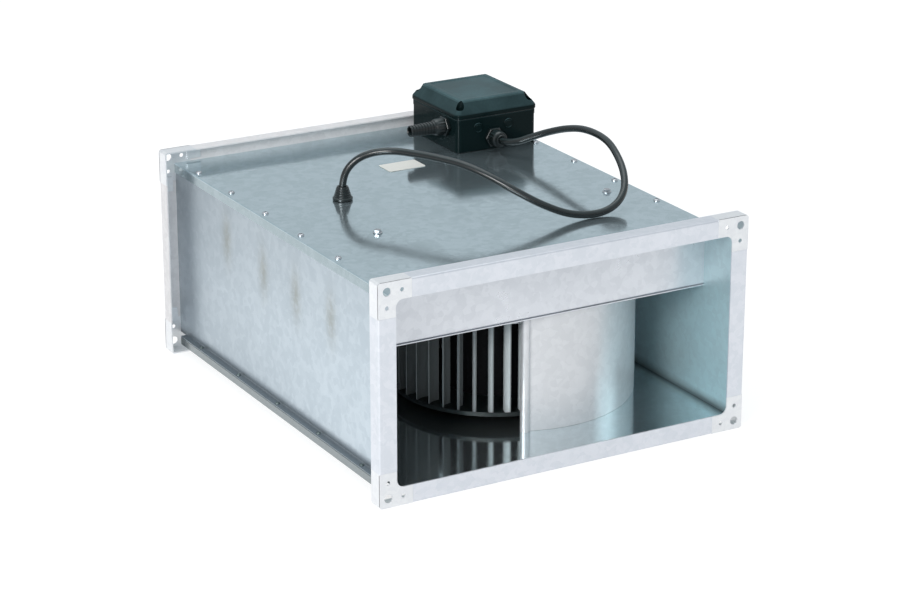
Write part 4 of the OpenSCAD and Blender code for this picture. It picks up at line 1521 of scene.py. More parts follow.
    def pan(self) -> bpy.types.Object:
        """The bottom pan with its hemmed lips, which carry painted shade.

        Returns:
            The pan.
        """
        low, high = span_mm("bottom_pan")
        rim_x = span_mm("right_side_panel")[1].x - self.lip

        def wave(v: Vector) -> Vector:
            """Lets the floor sink a little between its edges."""
            return v + UP * self.pan_wave.at(v.xy, (-rim_x, low.y), (rim_x, high.y))

        floor = evened([(-rim_x, high.z), (rim_x, high.z)], self.pan_step)
        shape = folded_sheet(floor, self.sheet, stations(low.y, high.y, self.pan_step), along_y(), wave)
        lip = rounded([(rim_x, high.z), (high.x, high.z), (high.x, low.z)], [0, self.fold, 0])
        for way in (-1, 1):
            shape.join(folded_sheet(lip, self.sheet, [-self.lip_half(), self.lip_half()], along_y(way)))
        made = shape.object("pan_sheet")
        # Painted shade on the lips.
        mark(made, "dull", lambda v: self.pan_lip_shade if abs(v.x) > rim_x - self.sheet else 0.0)
        return made

    def fasteners(self, shop: Workshop) -> None:
        """The cover's screws and the rivets of the foot lips.

        Args:
            shop: What dresses the pieces.
        """
        screw, rivet = self.cover_screw, self.rivet
        top = span_mm("top_cover")[1].z
        box_y = span_mm("terminal_box_base")[0].y
        points = two_rows("cover_screws", screw.radius, self.cover_screw_gaps, top)
        points = [p for p in points if p.x < 0 or p.y < box_y]
        shop.fasten("cover_screw_set", screw.cross(), points, Finishes.screw, "cover_screws")
        points = two_rows("lip_rivets", rivet.radius, self.rivet_gaps, span_mm("lip_rivets")[0].z)
        shop.fasten("lip_rivet_set", rivet.rivet(), points, Finishes.rivet, "lip_rivets")


@dataclass
class Flange:
    """One end's flange: four rails and four corner pieces."""

    end: End
    face: float = 20.0
    thick: float = 1.5
    rim: float = 18.0
    fold: float = 2.0
    smooth_deg: float = 30.0
    leg: float = 38.0
    corner_r: float = 3.0
    corner_inner_r: float = 8.0
    leg_r: float = 0.6
    edge: float = 0.25
    bolt_r: float = 4.5
    rivet_r: float = 2.25
    rivet_inset: float = 11.0
    tongue: tuple[float, float, float] = (3.5, 15.0, 12.0)
    tongue_root: float = 5.0
    tongue_gap: float = 0.02
    tongue_edge: float = 0.3

    def build(self, shop: Workshop) -> None:
        """Makes and dresses the rails and the corners.

        Args:
            shop: What dresses the pieces.
        """
        name = self.end.name.lower()
        finish = Finishes.rear if self.end is End.INLET else Finishes.flange
        line = rounded([(self.face, 0), (0, 0), (0, self.rim)], [0, self.fold, 0])
        for side in Side:
            node = f"{name}_rail_{side.value}"
            low, high = span_mm(node)
            ends = [low.x, high.x] if side in (Side.BOTTOM, Side.TOP) else [low.z, high.z]
            rail = folded_sheet(line, self.thick, ends, lambda p, s, side=side: self.place(side, p, s))
            shop.fit(rail.object(f"{node}_profile", self.smooth_deg), finish, Body.CASING, node)
        node = f"{name}_corners"
        shop.fit(self.corners().object(f"{node}_set", self.smooth_deg), Finishes.corner, Body.CASING, node)

    def span(self) -> tuple[Vector, Vector]:
        """The flange's lowest and highest corners."""
        return span_mm(f"{self.end.name.lower()}_corners")

    def behind(self, depth: float) -> float:
        """The place along Y at a depth behind the flange's face."""
        low, high = self.span()
        return (high.y if self.end is End.INLET else low.y) - self.end.value * depth

    def place(self, side: Side, point: Point2, along: float) -> Vector:
        """A point of a rail.

        Args:
            side: Which rail.
            point: Distance from the flange's outer edge, and depth behind its face.
            along: The place along the rail.

        Returns:
            The point in space.
        """
        low, high = self.span()
        inwards, depth = point
        y = self.behind(depth)
        if side in (Side.BOTTOM, Side.TOP):
            return Vector((along, y, low.z + inwards if side is Side.BOTTOM else high.z - inwards))
        return Vector((low.x + inwards if side is Side.LEFT else high.x - inwards, y, along))

    def corner(self) -> Shape:
        """A corner piece, in distances from the two outer edges and depth behind the face.

        Returns:
            The piece.
        """
        face, leg, thick = self.face, self.leg, self.thick
        outline = rounded(
            [(0, 0), (leg, 0), (leg, face), (face, face), (face, leg), (0, leg)],
            [self.corner_r, self.leg_r, self.leg_r, self.corner_inner_r, self.leg_r, self.leg_r], closed=True,
        )
        middle, far = face / 2, leg - self.rivet_inset
        holes = [circle(middle, middle, self.bolt_r)]
        holes += [circle(x, y, self.rivet_r) for x, y in ((far, middle), (middle, far))]
        shape = plate(outline, holes, thick, self.edge)
        edge = rounded([(leg, 0), (0, 0), (0, leg)], [0, self.corner_r, 0])
        shape.join(folded_sheet(edge, thick, [0.2 * thick, self.rim], along_z))
        low, high, reach = self.tongue
        root, tip = leg - self.tongue_root, leg + reach
        for a, b in (((root, low), (tip, high)), ((low, root), (high, tip))):
            shape.join(block((*a, thick + self.tongue_gap), (*b, 2 * thick), self.tongue_edge))
        return shape

    def corners(self) -> Shape:
        """The four corner pieces in place.

        Returns:
            All four as one shape.
        """
        low, high = self.span()
        whole = Shape()
        for x, x_way in ((low.x, 1), (high.x, -1)):
            for z, z_way in ((low.z, 1), (high.z, -1)):
                rows = ((x_way, 0, 0, x), (0, 0, -self.end.value, self.behind(0)), (0, z_way, 0, z))
                whole.join(self.corner().moved(Matrix((*rows, (0, 0, 0, 1)))))
        return whole


@dataclass
class Scroll:
    """The closing panel, the spiral wall and the sheets round the wheel."""

    sheet: float = 1.0
    cutoff_deg: float = -103.5
    cutoff_r: float = 127.0
    end_deg: float = 180.0
    tail: float = 20.0
    wall_steps: int = 200
    wall_level: float = 16.0
    wall_flats: int = 11
    wall_flat_depth: float = 0.3
    wall_flat_twist: float = 40.0
    wall_fades: Point2 = (20.0, 30.0)
    wall_front: float = 4.0
    panel_step: float = 8.0
    panel_notch: float = 7.0
    panel_gap: float = 0.3
    panel_folds: Point2 = (3.0, 2.0)
    panel_edges: Point2 = (4.0, 3.0)
    panel_wave: Wave = Wave(0.5, 0.4, (50, 25), squeeze=2.0)
    ring_screw: ScrewHead = ScrewHead(3.5, 2.2, 6.2)
    ring_screws: int = 8

    def build(self, shop: Workshop) -> None:
        """Makes and dresses the scroll.

        Args:
            shop: What dresses the pieces.
        """
        shop.fit(self.closing_panel(), Finishes.front, Body.CASING, "closing_panel")
        shop.fit(self.wall(), Finishes.bright, Body.CASING, "scroll_wall")
        shop.keep(Finishes.bright, "cutoff_nose", "inlet_ring")
        shop.keep(Finishes.front, "scroll_roof", "side_baffle")
        self.screws(shop)

    def screws(self, shop: Workshop) -> None:
        """The screws of the inlet ring.

        Args:
            shop: What dresses the pieces.
        """
        low, high = span_mm("inlet_ring_screws")
        half_gap = math.pi / self.ring_screws
        reach = (high.x - low.x) / 2 / math.cos(half_gap) - self.ring_screw.radius
        spots = [Vector((*polar(reach, a + half_gap), 0)) for a in turns(self.ring_screws)]
        axis = wheel_axis()
        axis.z = span_mm("inlet_ring")[1].z
        points = [axis + spot for spot in spots]
        shop.fasten(
            "inlet_ring_screw_set", self.ring_screw.cross(), points, Finishes.screw, "inlet_ring_screws"
        )

    def closing_panel(self) -> bpy.types.Object:
        """The upright panel over the outlet, with its rounded lower fold.

        Returns:
            The panel.
        """
        low, high = span_mm("closing_panel")
        tab_x = span_mm("right_side_panel")[0].x - self.panel_gap
        notch_z = high.z - self.panel_notch
        bottom, top = self.panel_edges
        flat_low, flat_high = (low.x, low.z + bottom), (high.x, high.z - top)

        def wave(v: Vector) -> Vector:
            """A faint dish in the panel."""
            return v + Vector((0, self.panel_wave.at(v.xz, flat_low, flat_high), 0))

        def place(p: Point2, s: float) -> Vector:
            """A point of the section across the fan."""
            return Vector((s, *p))

        lower_fold, upper_fold = self.panel_folds
        main = rounded([(low.y, notch_z), (low.y, low.z), (high.y, low.z)], [0, lower_fold, 0])
        upper = rounded([(high.y, high.z), (low.y, high.z), (low.y, notch_z)], [0, upper_fold, 0])
        step = self.panel_step
        shape = folded_sheet(evened(main, step), -self.sheet, stations(low.x, high.x, step), place, wave)
        shape.join(folded_sheet(upper, -self.sheet, [-tab_x, tab_x], place))
        return shape.object("closing_panel_sheet")

    def wall(self) -> bpy.types.Object:
        """The spiral wall from the cut-off to the left side panel.

        Returns:
            The wall.
        """
        low, high = span_mm("scroll_wall")
        axis = wheel_axis()
        end_r = axis.x - low.x - self.sheet
        angles = spread(self.cutoff_deg, self.end_deg, self.wall_steps)
        radii = spread(self.cutoff_r, end_r, self.wall_steps)
        spiral = [polar(r, math.radians(a)) for r, a in zip(radii, angles)]
        line = [(axis.x + x, axis.y + y) for x, y in [*spiral, (-end_r, -self.tail)]]
        front_fade, level_fade = self.wall_fades

        def wave(v: Vector) -> Vector:
            """Slight flats in the rolled sheet.

            Args:
                v: A point of the even wall.

            Returns:
                The point, moved in or out.
            """
            out = Vector((v.x - axis.x, v.y - axis.y, 0)).normalized()
            room = fade(v.z, low.z, high.z, level_fade)
            room *= fade(v.y, low.y + self.wall_front, high.y, front_fade)
            flats = math.sin(self.wall_flats * math.atan2(out.y, out.x) + v.z / self.wall_flat_twist)
            return v + out * (self.wall_flat_depth * room * flats)

        levels = stations(low.z, high.z, self.wall_level)
        return folded_sheet(line, self.sheet, levels, along_z, wave).object("scroll_wall_sheet")


@dataclass
class Wheel:
    """The forward-curved wheel and its external-rotor motor."""

    blades: int = 38
    blade_thick: float = 0.8
    blade_depth: float = 22.0
    blade_end_gap: float = 0.6
    blade_sweep_deg: float = 75.0
    blade_start_deg: float = -125.0
    blade_lean_deg: float = 12.0
    blade_steps: int = 14
    # How far a blade side must face round the wheel to be darkened as painted shade.
    eye_r: float = 90.7
    shaded_from: float = 0.3
    strap_thick: float = 3.0
    strap_bend: float = 4.5
    strap_gap: float = 8.0
    strap_foot: float = 25.0
    flange_screw: ScrewHead = ScrewHead(4.5, 3.0, 9.0, 2.4)
    foot_screw: ScrewHead = ScrewHead(5.0, 3.5, 8.0, 2.9)

    def build(self, shop: Workshop) -> None:
        """Makes and dresses the wheel and the motor.

        Args:
            shop: What dresses the pieces.
        """
        axis = wheel_axis()
        low, high = span_mm("impeller_blades")
        foot = Vector((axis.x, axis.y, 0))
        finish = shop.skin(Finishes.wheel)
        blades = shop.repeats.ring("blade_set", self.blade(low.z, high.z), self.blades, foot, finish)
        # Painted shade on the hollow sides of the blades.
        self.paint_hollow_shade(blades, axis)
        shop.fit(blades, Finishes.wheel, Body.IMPELLER, "impeller_blades")
        shop.keep(Finishes.wheel, "impeller_top_ring")
        # The back plate takes the near-black painted shade.
        shop.keep(Finishes.hub_shade, "impeller_back_plate")
        shop.keep(Finishes.motor, "rotor_can", "stator_flange")
        shop.keep(
            Finishes.steel, "rotor_cage", "motor_shaft", "shaft_circlip", "lower_bearing", "upper_bearing",
            "stator_core",
        )
        shop.keep(Finishes.copper, "stator_windings")
        shop.keep(Finishes.screw, "impeller_screws")
        shop.fit(self.strap(), Finishes.cover, Body.CASING, "motor_support")
        self.screws(shop)

    def blade(self, bottom: float, top: float) -> Shape:
        """One blade, standing from the wheel's axis as the first of the ring.

        Args:
            bottom: The height of its foot.
            top: The height of its top.

        Returns:
            The blade.
        """
        angles = spread(self.blade_start_deg, self.blade_start_deg + self.blade_sweep_deg, self.blade_steps)
        arc = [Vector(polar(1.0, math.radians(a))) for a in angles]
        chord = arc[-1] - arc[0]
        scale = (self.blade_depth - self.blade_end_gap) / chord.length
        turn = Matrix.Rotation(math.radians(self.blade_lean_deg) - math.atan2(chord.y, chord.x), 2)
        spots = [turn @ (scale * (point - arc[0])) for point in arc]
        line = [(self.eye_r + spot.x, spot.y) for spot in spots]
        return folded_sheet(line, -self.blade_thick, [bottom, top], along_z)

    def paint_hollow_shade(self, blades: bpy.types.Object, axis: Vector) -> None:
        """Darkens the hollow side of every blade as painted shade.

        Args:
            blades: The ring of blades.
            axis: A point on the wheel's axis, in millimetres.
        """
        dull = [0.0] * len(blades.data.vertices)
        for side in blades.data.polygons:
            out = (side.center / MM - axis).to_2d().normalized()
            if side.normal.y * out.x - side.normal.x * out.y > self.shaded_from:
                for index in side.vertices:
                    dull[index] = 1.0
        write_mask(blades, "dull", dull)

    def strap(self) -> bpy.types.Object:
        """The bent strap that hangs the motor from the cover.

        Returns:
            The strap.
        """
        low, high = span_mm("motor_support")
        axis = wheel_axis()
        half = self.strap_thick / 2
        seat, foot = low.z + half, high.z - half
        shoulder = span_mm("inlet_ring")[1].z + self.strap_gap + half
        seat_x = span_mm("stator_flange")[1].x - axis.x + self.strap_gap - half
        foot_x = high.x - axis.x
        leg_x = foot_x - self.strap_foot - half
        right = [(seat_x, seat), (seat_x, shoulder), (leg_x, shoulder), (leg_x, foot), (foot_x, foot)]
        middle = [(-x, z) for x, z in reversed(right)] + right
        line = beside(rounded(middle, [0, *[self.strap_bend] * (len(middle) - 2), 0]), -half)
        return folded_sheet(line, 2 * half, [low.y, high.y], along_y(middle=axis.x)).object("motor_strap")

    def screws(self, shop: Workshop) -> None:
        """The screws of the motor's flange and of the strap's feet.

        Args:
            shop: What dresses the pieces.
        """
        seat = span_mm("motor_support")[0].z + self.strap_thick
        points = two_rows("motor_flange_screws", self.flange_screw.radius, 1, seat)
        shop.fasten(
            "motor_flange_screw_set", self.flange_screw.cross(), points, Finishes.screw, "motor_flange_screws"
        )
        low, high = span_mm("support_screws")
        head, top = self.foot_screw.radius, span_mm("top_cover")[1].z
        points = [Vector((x, wheel_axis().y, top)) for x in (low.x + head, high.x - head)]
        shop.fasten(
            "strap_foot_screw_set", self.foot_screw.hexagon(), points, Finishes.screw, "support_screws"
        )


@dataclass
class TerminalBox:
    """The black box on the cover, with its lid, glands and inner parts."""

    wall: float = 2.5
    corner: float = 6.0
    least_corner: float = 2.0
    lid_draw: float = 9.0
    lid_over: float = 1.5
    post_inset: float = 7.0
    post_r: float = 5.5
    post_bore: float = 2.05
    post_room: float = 6.6
    well_r: float = 4.5
    well_floor: float = 5.0
    gland_hole: float = 8.6
    gland_tail: float = 9.0
    gland_bores: tuple[tuple[str, float], ...] = (("motor_gland", 4.1), ("mains_gland", 5.0))
    screw_r: float = 3.2
    screw_height: float = 2.6
    screw_shank_r: float = 1.7

    BASE_DEG = 38.0
    LID_DEG = 34.0
    GLAND_DEG = 30.0

    # How far a shape that is cut out reaches past what it cuts.
    CLEAR = 2.0
    HOLE_REACH = 6.0

    # A gland's sections: radius, and distance from the box's wall or from the start of a thread.
    THREAD = ((8.1, 0.0), (8.5, 0.5), (8.5, 0.8), (8.1, 1.2))
    THREADS = 8
    THREAD_END = 0.4
    HEXAGON = ((11.4, 0.0), (12.0, 0.7), (12.0, 4.3), (11.4, 5.0))
    RIB = (9.65, 0.3, 18)
    RIBBED = (5.6, 6.4, 13.0)
    DOME = ((9.5, 14.2), (9.1, 15.6), (8.4, 16.7), (7.6, 17.0))
    GUARD_RING = ((0.0, 0.0), (0.0, 0.5), (0.9, 0.6), (0.9, 0.95))
    GUARD_RADII = (7.5, 6.5)
    GUARD_START = 17.6
    GUARD_PITCH = 3.4

    def build(self, shop: Workshop) -> None:
        """Makes and dresses the box.

        Args:
            shop: What dresses the pieces.
        """
        shop.fit(self.base(), Finishes.box, Body.CASING, "terminal_box_base")
        shop.fit(self.lid(), Finishes.box, Body.LID, "terminal_box_lid")
        self.screws(shop)
        self.knockouts(shop)
        shop.keep(Finishes.rubber, "lid_gasket")
        shop.keep(Finishes.block, "terminal_block")
        shop.keep(Finishes.brass, "terminal_screws", "earth_stud")
        shop.keep(Finishes.can, "run_capacitor")
        shop.keep(Finishes.steel, "capacitor_clip")
        shop.keep(Finishes.screw, "box_screws")
        shop.keep(Finishes.gland, "gland_locknuts")
        for node, bore in self.gland_bores:
            shop.fit(self.gland(node, bore), Finishes.gland, Body.CASING, node)

    def loops(self, node: str, levels: Sequence[Point2]) -> list[list[Vector]]:
        """Rounded outlines about the box.

        Args:
            node: The CAD node whose foot is height 0.
            levels: Margin beyond the base's walls, and height, of each outline.

        Returns:
            The outlines.
        """
        low, high = span_mm("terminal_box_base")
        middle = middle_mm("terminal_box_base")
        middle.z = span_mm(node)[0].z
        found = []
        for margin, z in levels:
            width, depth = high.x - low.x + 2 * margin, high.y - low.y + 2 * margin
            outline = rounded_rect(width, depth, max(self.corner + margin, self.least_corner))
            found.append([middle + along_z(point, z) for point in outline])
        return found

    def posts(self, z: float) -> list[Vector]:
        """The middles of the four screw posts at a height."""
        return two_rows("terminal_box_base", self.post_inset, 1, z)

    def base(self) -> bpy.types.Object:
        """The base: walls with a rolled rim, a floor and the posts.

        Returns:
            The base.
        """
        low, high = span_mm("terminal_box_base")
        h, wall, bore, post_r = high.z - low.z, self.wall, self.post_bore, self.post_r
        outer = [(-0.8, 0), (-0.2, 0.3), (0, 1.0), (0, h - 6), (0.5, h - 5.4), (0.5, h - 0.7), (0.1, h)]
        inner = [(0.2 - wall, h), (-wall, h - 0.4), (-wall, wall + 1.0), (-wall - 1.0, wall)]
        base = stacked(self.loops("terminal_box_base", outer + inner))
        foot = [(bore, wall), (post_r, wall)]
        head = [(post_r, h - 0.3), (post_r - 0.3, h), (bore + 0.25, h), (bore, h - 0.3)]
        for spot in self.posts(low.z):
            base.join(turned([*foot, *head], points=32).moved(Matrix.Translation(spot)))
        made = base.object("box_base", self.BASE_DEG)
        for node, _ in self.gland_bores:
            hole = rod(self.gland_hole, -self.HOLE_REACH, self.HOLE_REACH)
            cut(made, hole.moved(self.frame(node, -self.gland_way(node))))
        shade(made, self.BASE_DEG)
        return made

    def lid(self) -> bpy.types.Object:
        """The drawn-in lid with a shallow panel on top and a well over each post.

        Returns:
            The lid.
        """
        low, high = span_mm("terminal_box_lid")
        h, draw, over, wall = high.z - low.z, self.lid_draw, self.lid_over, self.wall
        skin = [
            (over - 0.3, 0), (over, 0.5), (over, 3.6), (over - 0.35, 4.5), (over - 1.2, 5.7),
            (1.4 - draw, h - 2.3), (0.2 - draw, h - 1.1), (-draw - 1.4, h - 0.25), (-draw - 3.0, h),
            (-draw - 6.5, h), (-draw - 7.2, h - 0.6),
        ]
        hollow = [(over - wall, -1), (over - wall, 2.6), (-draw - 1.2, h - wall - 0.8), (-draw - 4, h - wall)]
        made = stacked(self.loops("terminal_box_lid", skin)).object("box_lid_shell", self.BASE_DEG)
        cavity = stacked(self.loops("terminal_box_lid", hollow)).object("cavity")
        for spot in self.posts(low.z):
            post = rod(self.post_room, -self.CLEAR, h + self.CLEAR)
            cut(cavity, post.moved(Matrix.Translation(spot)))
        cut(made, Shape.taken(cavity))
        floor, well_r = self.well_floor, self.well_r
        well = [(well_r - 0.2, floor), (well_r, floor + 0.2), (well_r, h + self.CLEAR)]
        for spot in self.posts(low.z):
            cut(made, turned(well, points=48, capped=True).moved(Matrix.Translation(spot)))
        shade(made, self.LID_DEG)
        return made

    def screws(self, shop: Workshop) -> None:
        """The lid's screws, sunk in their wells.

        Args:
            shop: What dresses the pieces.
        """
        low, high = span_mm("lid_screws")
        well = high.z - self.screw_height
        screw = ScrewHead(self.screw_r, self.screw_height, well - low.z, self.screw_shank_r)
        shop.fasten(
            "lid_screw_set", screw.cross(), self.posts(well), Finishes.screw, "lid_screws", body=Body.LID
        )

    def knockouts(self, shop: Workshop) -> None:
        """The round knock-outs on the front wall.

        Args:
            shop: What dresses the pieces.
        """
        low, high = span_mm("knockout_plugs")
        r = (high.z - low.z) / 2
        rim = [(r, -1.2), (r, 0.5), (r - 0.4, 1.0), (r - 1.3, 1.0)]
        groove = [(r - 1.5, 0.6), (r - 2.1, 0.6), (r - 2.3, 0.9), (0.3, 0.9)]
        disc = turned([*rim, *groove], points=40, capped=True)
        points = [Vector((x, low.y + 1, low.z + r)) for x in (low.x + r, high.x - r)]
        front = Vector((0, -1, 0))
        shop.fasten("knockout_set", disc, points, Finishes.box, "knockout_plugs", aim=front)

    @staticmethod
    def gland_way(node: str) -> Vector:
        """The way a gland points: out of the front or of the left wall."""
        low, high = span_mm(node)
        return Vector((0, -1, 0)) if high.y - low.y > high.x - low.x else Vector((-1, 0, 0))

    @staticmethod
    def frame(node: str, out: Vector) -> Matrix:
        """The place of a gland on the box's wall.

        Args:
            node: The gland's CAD node.
            out: The way that +Z points.

        Returns:
            The place, as a matrix.
        """
        at = middle_mm(node)
        wall = span_mm("terminal_box_base")[0]
        if out.y:
            at.y = wall.y
        else:
            at.x = wall.x
        return Matrix.Translation(at) @ out.to_track_quat("Z", "Y").to_matrix().to_4x4()

    def gland(self, node: str, bore: float) -> bpy.types.Object:
        """A cable gland: thread and hexagon, ribbed dome nut, and a ringed kink guard.

        Args:
            node: The gland's CAD node.
            bore: The radius of its bore.

        Returns:
            The gland.
        """
        low, high = span_mm(node)
        tail = self.wall + self.gland_tail
        length = max(high.x - low.x, high.y - low.y) - tail
        starts = spread(self.THREAD_END - tail, -self.THREAD_END, self.THREADS)[:-1]
        thread = [(r, start + z) for start in starts for r, z in self.THREAD]
        hexagon = [(hex_r(r), z) for r, z in self.HEXAGON]
        ribs = [(ribbed_r(*self.RIB), z) for z in self.RIBBED]
        rings = max(2, int((length - 19) / self.GUARD_PITCH))
        guard = ringed(self.GUARD_RING, rings, self.GUARD_START, length - 1.2, *self.GUARD_RADII)
        mouth = [(6.6, length - 0.9), (6.2, length), (bore + 0.4, length), (bore, length - 0.5)]
        inside = [(bore, -tail), (8.1, -tail), *thread, (8.3, 0)]
        levels = [*inside, *hexagon, (9.4, 5.1), *ribs, *self.DOME, *guard, *mouth]
        shape = turned(levels).moved(self.frame(node, self.gland_way(node)))
        return shape.object(f"{node}_body", self.GLAND_DEG)


@dataclass
class MotorCable:
    """The motor's cable, its grommet in the cover, and the bare rating plate."""

    route: tuple[Point3, ...] = (
        (22, -35, 116), (22, -35, 132), (22, -35, 149), (18, -32, 167), (8, -26, 179), (-7, -16, 184),
        (-38, 6, 184), (-70, 27, 184), (-85, 37, 189), (-95, 43, 201), (-99, 46, 218), (-99, 46, 237),
        (-95, 44, 254), (-84, 39, 267), (-68, 31, 274), (-51, 16, 277), (-37, -8, 278), (-24, -34, 278),
        (-10, -62, 276), (6, -89, 268), (24, -112, 256), (47, -129, 242), (72, -138, 231),
        (97, -142, 226.5), (119, -142, 227.5), (138, -136, 233), (153, -124, 242), (164, -105, 253),
        (172, -81, 263), (179, -52, 270), (184, -20, 271), (184, 11, 269), (180, 38, 263), (171, 60, 255),
        (159, 76, 247), (148, 89, 240), (141, 105, 236), (140, 120, 236), (140, 135, 236), (140, 150, 236),
    )
    diameter: float = 8.0
    fineness: int = 6
    sides: int = 6
    grommet_bore: float = 4.4
    grommet_neck: float = 8.0
    grommet_rings: int = 4
    cover_sheet: float = 1.0
    grommet_deg: float = 30.0
    plate_corner: float = 2.5
    plate_edge: float = 0.15

    GROMMET_RING = ((0.0, 0.0), (0.1, 0.55), (0.8, 0.65), (0.9, 0.95))

    def build(self, shop: Workshop) -> None:
        """Args:
            shop: What dresses the pieces.
        """
        line = self.line()
        cable = self.cable(line)
        shop.fit(cable, Finishes.rubber, Body.CASING, "motor_cable")
        shop.fit(self.grommet(), Finishes.rubber, Body.CASING, "cable_grommet")
        shop.fit(self.rating_plate(), Finishes.plate, Body.CASING, "rating_plate")

    def line(self) -> list[Vector]:
        """The cable's centre line, smooth through its route.

        Returns:
            The line's points.
        """
        spots = [Vector(p) for p in self.route]
        last = len(spots) - 1
        fine = []
        for i in range(last):
            p, q = spots[max(i - 1, 0)], spots[i]
            r, s = spots[i + 1], spots[min(i + 2, last)]
            slope, bend, twist = r - p, 2 * p - 5 * q + 4 * r - s, 3 * q - p - 3 * r + s
            for t in spread(0, 1, self.fineness)[:-1]:
                fine.append(0.5 * (2 * q + slope * t + bend * t**2 + twist * t**3))
        return [*fine, spots[-1]]

    def cable(self, line: Sequence[Vector]) -> bpy.types.Object:
        """The cable as one round curve.

        Args:
            line: Its centre line.

        Returns:
            The cable.
        """
        curve = bpy.data.curves.new("cable_run", "CURVE")
        curve.dimensions = "3D"
        curve.bevel_depth = self.diameter / 2 * MM
        curve.bevel_resolution = self.sides
        curve.use_fill_caps = True
        spline = curve.splines.new("POLY")
        spline.points.add(len(line) - 1)
        for point, spot in zip(spline.points, line):
            point.co = (*(spot * MM), 1)
        return linked("cable_run", curve)

    def grommet(self) -> bpy.types.Object:
        """The ringed rubber cone round the cable.

        Returns:
            The grommet.
        """
        low, high = span_mm("cable_grommet")
        middle = middle_mm("cable_grommet")
        top = span_mm("top_cover")[1].z
        under = top - self.cover_sheet
        base, bore, neck = (high.x - low.x) / 2, self.grommet_bore, self.grommet_neck
        below = [(bore, low.z), (base - 0.6, low.z), (base, low.z + 0.6), (base, under)]
        groove = [(neck, under), (neck, top), (base - 0.5, top), (base, top + 0.5)]
        skirt = [(base, top + 2.4), (base - 0.8, top + 3.2)]
        ends = (top + 3.4, high.z - 1.0, base - 1.4, neck - 1.5)
        rings = ringed(self.GROMMET_RING, self.grommet_rings, *ends)
        mouth = [(6.4, high.z - 0.8), (6.0, high.z), (bore + 0.4, high.z), (bore, high.z - 0.4)]
        shape = turned([*below, *groove, *skirt, *rings, *mouth], points=56)
        shape = shape.moved(Matrix.Translation((middle.x, middle.y, 0)))
        return shape.object("grommet_cone", self.grommet_deg)

    def rating_plate(self) -> bpy.types.Object:
        """A bare plate with round corners.

        Returns:
            The plate.
        """
        low, high = span_mm("rating_plate")
        place = middle_mm("rating_plate")
        place.z = low.z
        outline = rounded_rect(high.x - low.x, high.y - low.y, self.plate_corner)
        shape = plate(outline, [], high.z - low.z, self.plate_edge)
        return shape.moved(Matrix.Translation(place)).object("blank_plate")


# Stage


@dataclass
class PhotoCamera:
    """The photograph's camera: its direction, distance and focal length in pixels of a frame 900 wide."""

    azimuth_deg: float = -29.62
    elevation_deg: float = 19.85
    distance: float = 3.09
    focal_px: float = 2814.0
    right: float = 0.0074
    up: float = -0.0161
    aim: Point3 = (0.0, 0.0, 0.12)
    frame_px: float = 900.0
    sensor_mm: float = 36.0
    far: float = 100.0

    def build(self) -> None:
        """Makes the camera and lets the scene use it."""
        a, e = math.radians(self.azimuth_deg), math.radians(self.elevation_deg)
        back = Vector((math.sin(a) * math.cos(e), -math.cos(a) * math.cos(e), math.sin(e)))
        right = UP.cross(back).normalized()
        up = back.cross(right)
        data = bpy.data.cameras.new("photo_camera")
        data.sensor_fit = "HORIZONTAL"
        data.sensor_width = self.sensor_mm
        data.lens = self.focal_px / self.frame_px * self.sensor_mm
        data.clip_end = self.far
        camera = linked("photo_camera", data)
        turn = Matrix((right, up, back)).transposed().to_4x4()
        eye = Vector(self.aim) + back * self.distance + right * self.right + up * self.up
        camera.matrix_world = Matrix.Translation(eye) @ turn
        bpy.context.scene.camera = camera


@dataclass(frozen=True)
class Lamp:
    """A soft rectangular lamp that looks at the fan. Its place and size are in metres."""

    name: str
    place: Point3
    size: Point2
    watts: float
    aim: Point3 = (0.0, 0.0, 0.1)

    def build(self) -> None:
        """Makes the lamp."""
        data = bpy.data.lights.new(self.name, "AREA")
        data.shape = "RECTANGLE"
        data.size, data.size_y = self.size
        data.energy = self.watts
        lamp = linked(self.name, data)
        lamp.location = self.place
        lamp.rotation_euler = (Vector(self.aim) - Vector(self.place)).to_track_quat("-Z", "Y").to_euler()


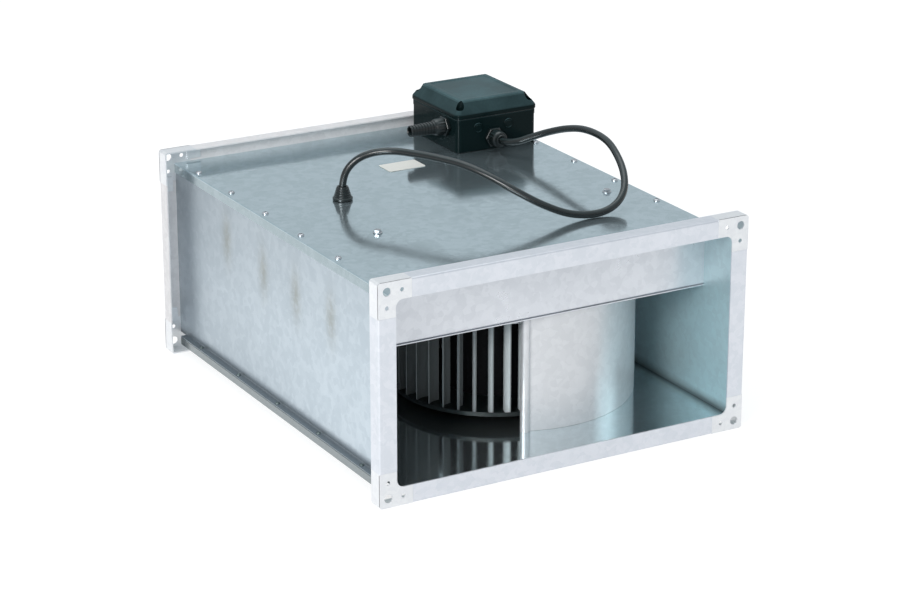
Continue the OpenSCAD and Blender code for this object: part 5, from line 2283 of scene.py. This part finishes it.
@dataclass
class Studio:
    """A white floor, a pale surround and soft lamps. Its sizes are in metres."""

    surround: Colour = (0.55, 0.59, 0.62)
    floor_half: float = 30.0
    floor_white: float = 0.42
    floor_glow: float = 0.72
    lamps: tuple[Lamp, ...] = (
        Lamp("key_lamp", (-2.5, -1.6, 1.35), (1.2, 0.9), 58),
        Lamp("front_lamp", (-1.7, -2.75, 0.9), (1.4, 0.8), 4),
        Lamp("top_lamp", (0.2, 0.9, 2.9), (2.4, 1.6), 22),
    )

    def build(self) -> None:
        """Makes the floor, the lamps and the world."""
        half = self.floor_half
        corners = [(-half, -half, 0), (half, -half, 0), (half, half, 0), (-half, half, 0)]
        mesh = bpy.data.meshes.new("floor")
        mesh.from_pydata(corners, [], [(0, 1, 2, 3)])
        mesh.materials.append(self.floor_material())
        linked("floor", mesh)
        for lamp in self.lamps:
            lamp.build()
        world = bpy.data.worlds.new("surround")
        world.use_nodes = True
        sky = world.node_tree.nodes["Background"]
        sky.inputs["Color"].default_value = (*self.surround, 1)
        sky.inputs["Strength"].default_value = 1.0
        scene = bpy.context.scene
        scene.world = world
        scene.view_settings.view_transform = "Standard"

    def floor_material(self) -> bpy.types.Material:
        """A white floor that stays white to the camera and in reflections, and keeps the shadow.

        Returns:
            The material.
        """
        made = bpy.data.materials.new("floor_white")
        made.use_nodes = True
        made.node_tree.nodes.clear()
        kit = NodeKit(made.node_tree)
        white = (self.floor_white,) * 3
        diffuse = kit.node("ShaderNodeBsdfDiffuse", {"Color": (*white, 1)})
        rays = kit.node("ShaderNodeLightPath").outputs
        seen = kit.math("MAXIMUM", rays["Is Camera Ray"], rays["Is Glossy Ray"])
        seen = kit.math("MAXIMUM", seen, rays["Is Transmission Ray"])
        glow = kit.node("ShaderNodeEmission", {"Strength": kit.math("MULTIPLY", seen, self.floor_glow)})
        both = kit.node("ShaderNodeAddShader", {0: diffuse.outputs[0], 1: glow.outputs[0]})
        kit.node("ShaderNodeOutputMaterial", {"Surface": both.outputs[0]})
        return made


def main() -> None:
    """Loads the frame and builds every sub-assembly in order."""
    logging.basicConfig(level=logging.INFO, format="%(name)s: %(message)s")
    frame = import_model()
    PhotoCamera().build()
    shop = Workshop(SharedEffects(), Repeats(), frame["nodes"])
    MotorCable().build(shop)
    Casing().build(shop)
    for end in End:
        Flange(end).build(shop)
    Scroll().build(shop)
    Wheel().build(shop)
    TerminalBox().build(shop)
    Studio().build()
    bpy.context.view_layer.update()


if __name__ == "__main__":
    main()
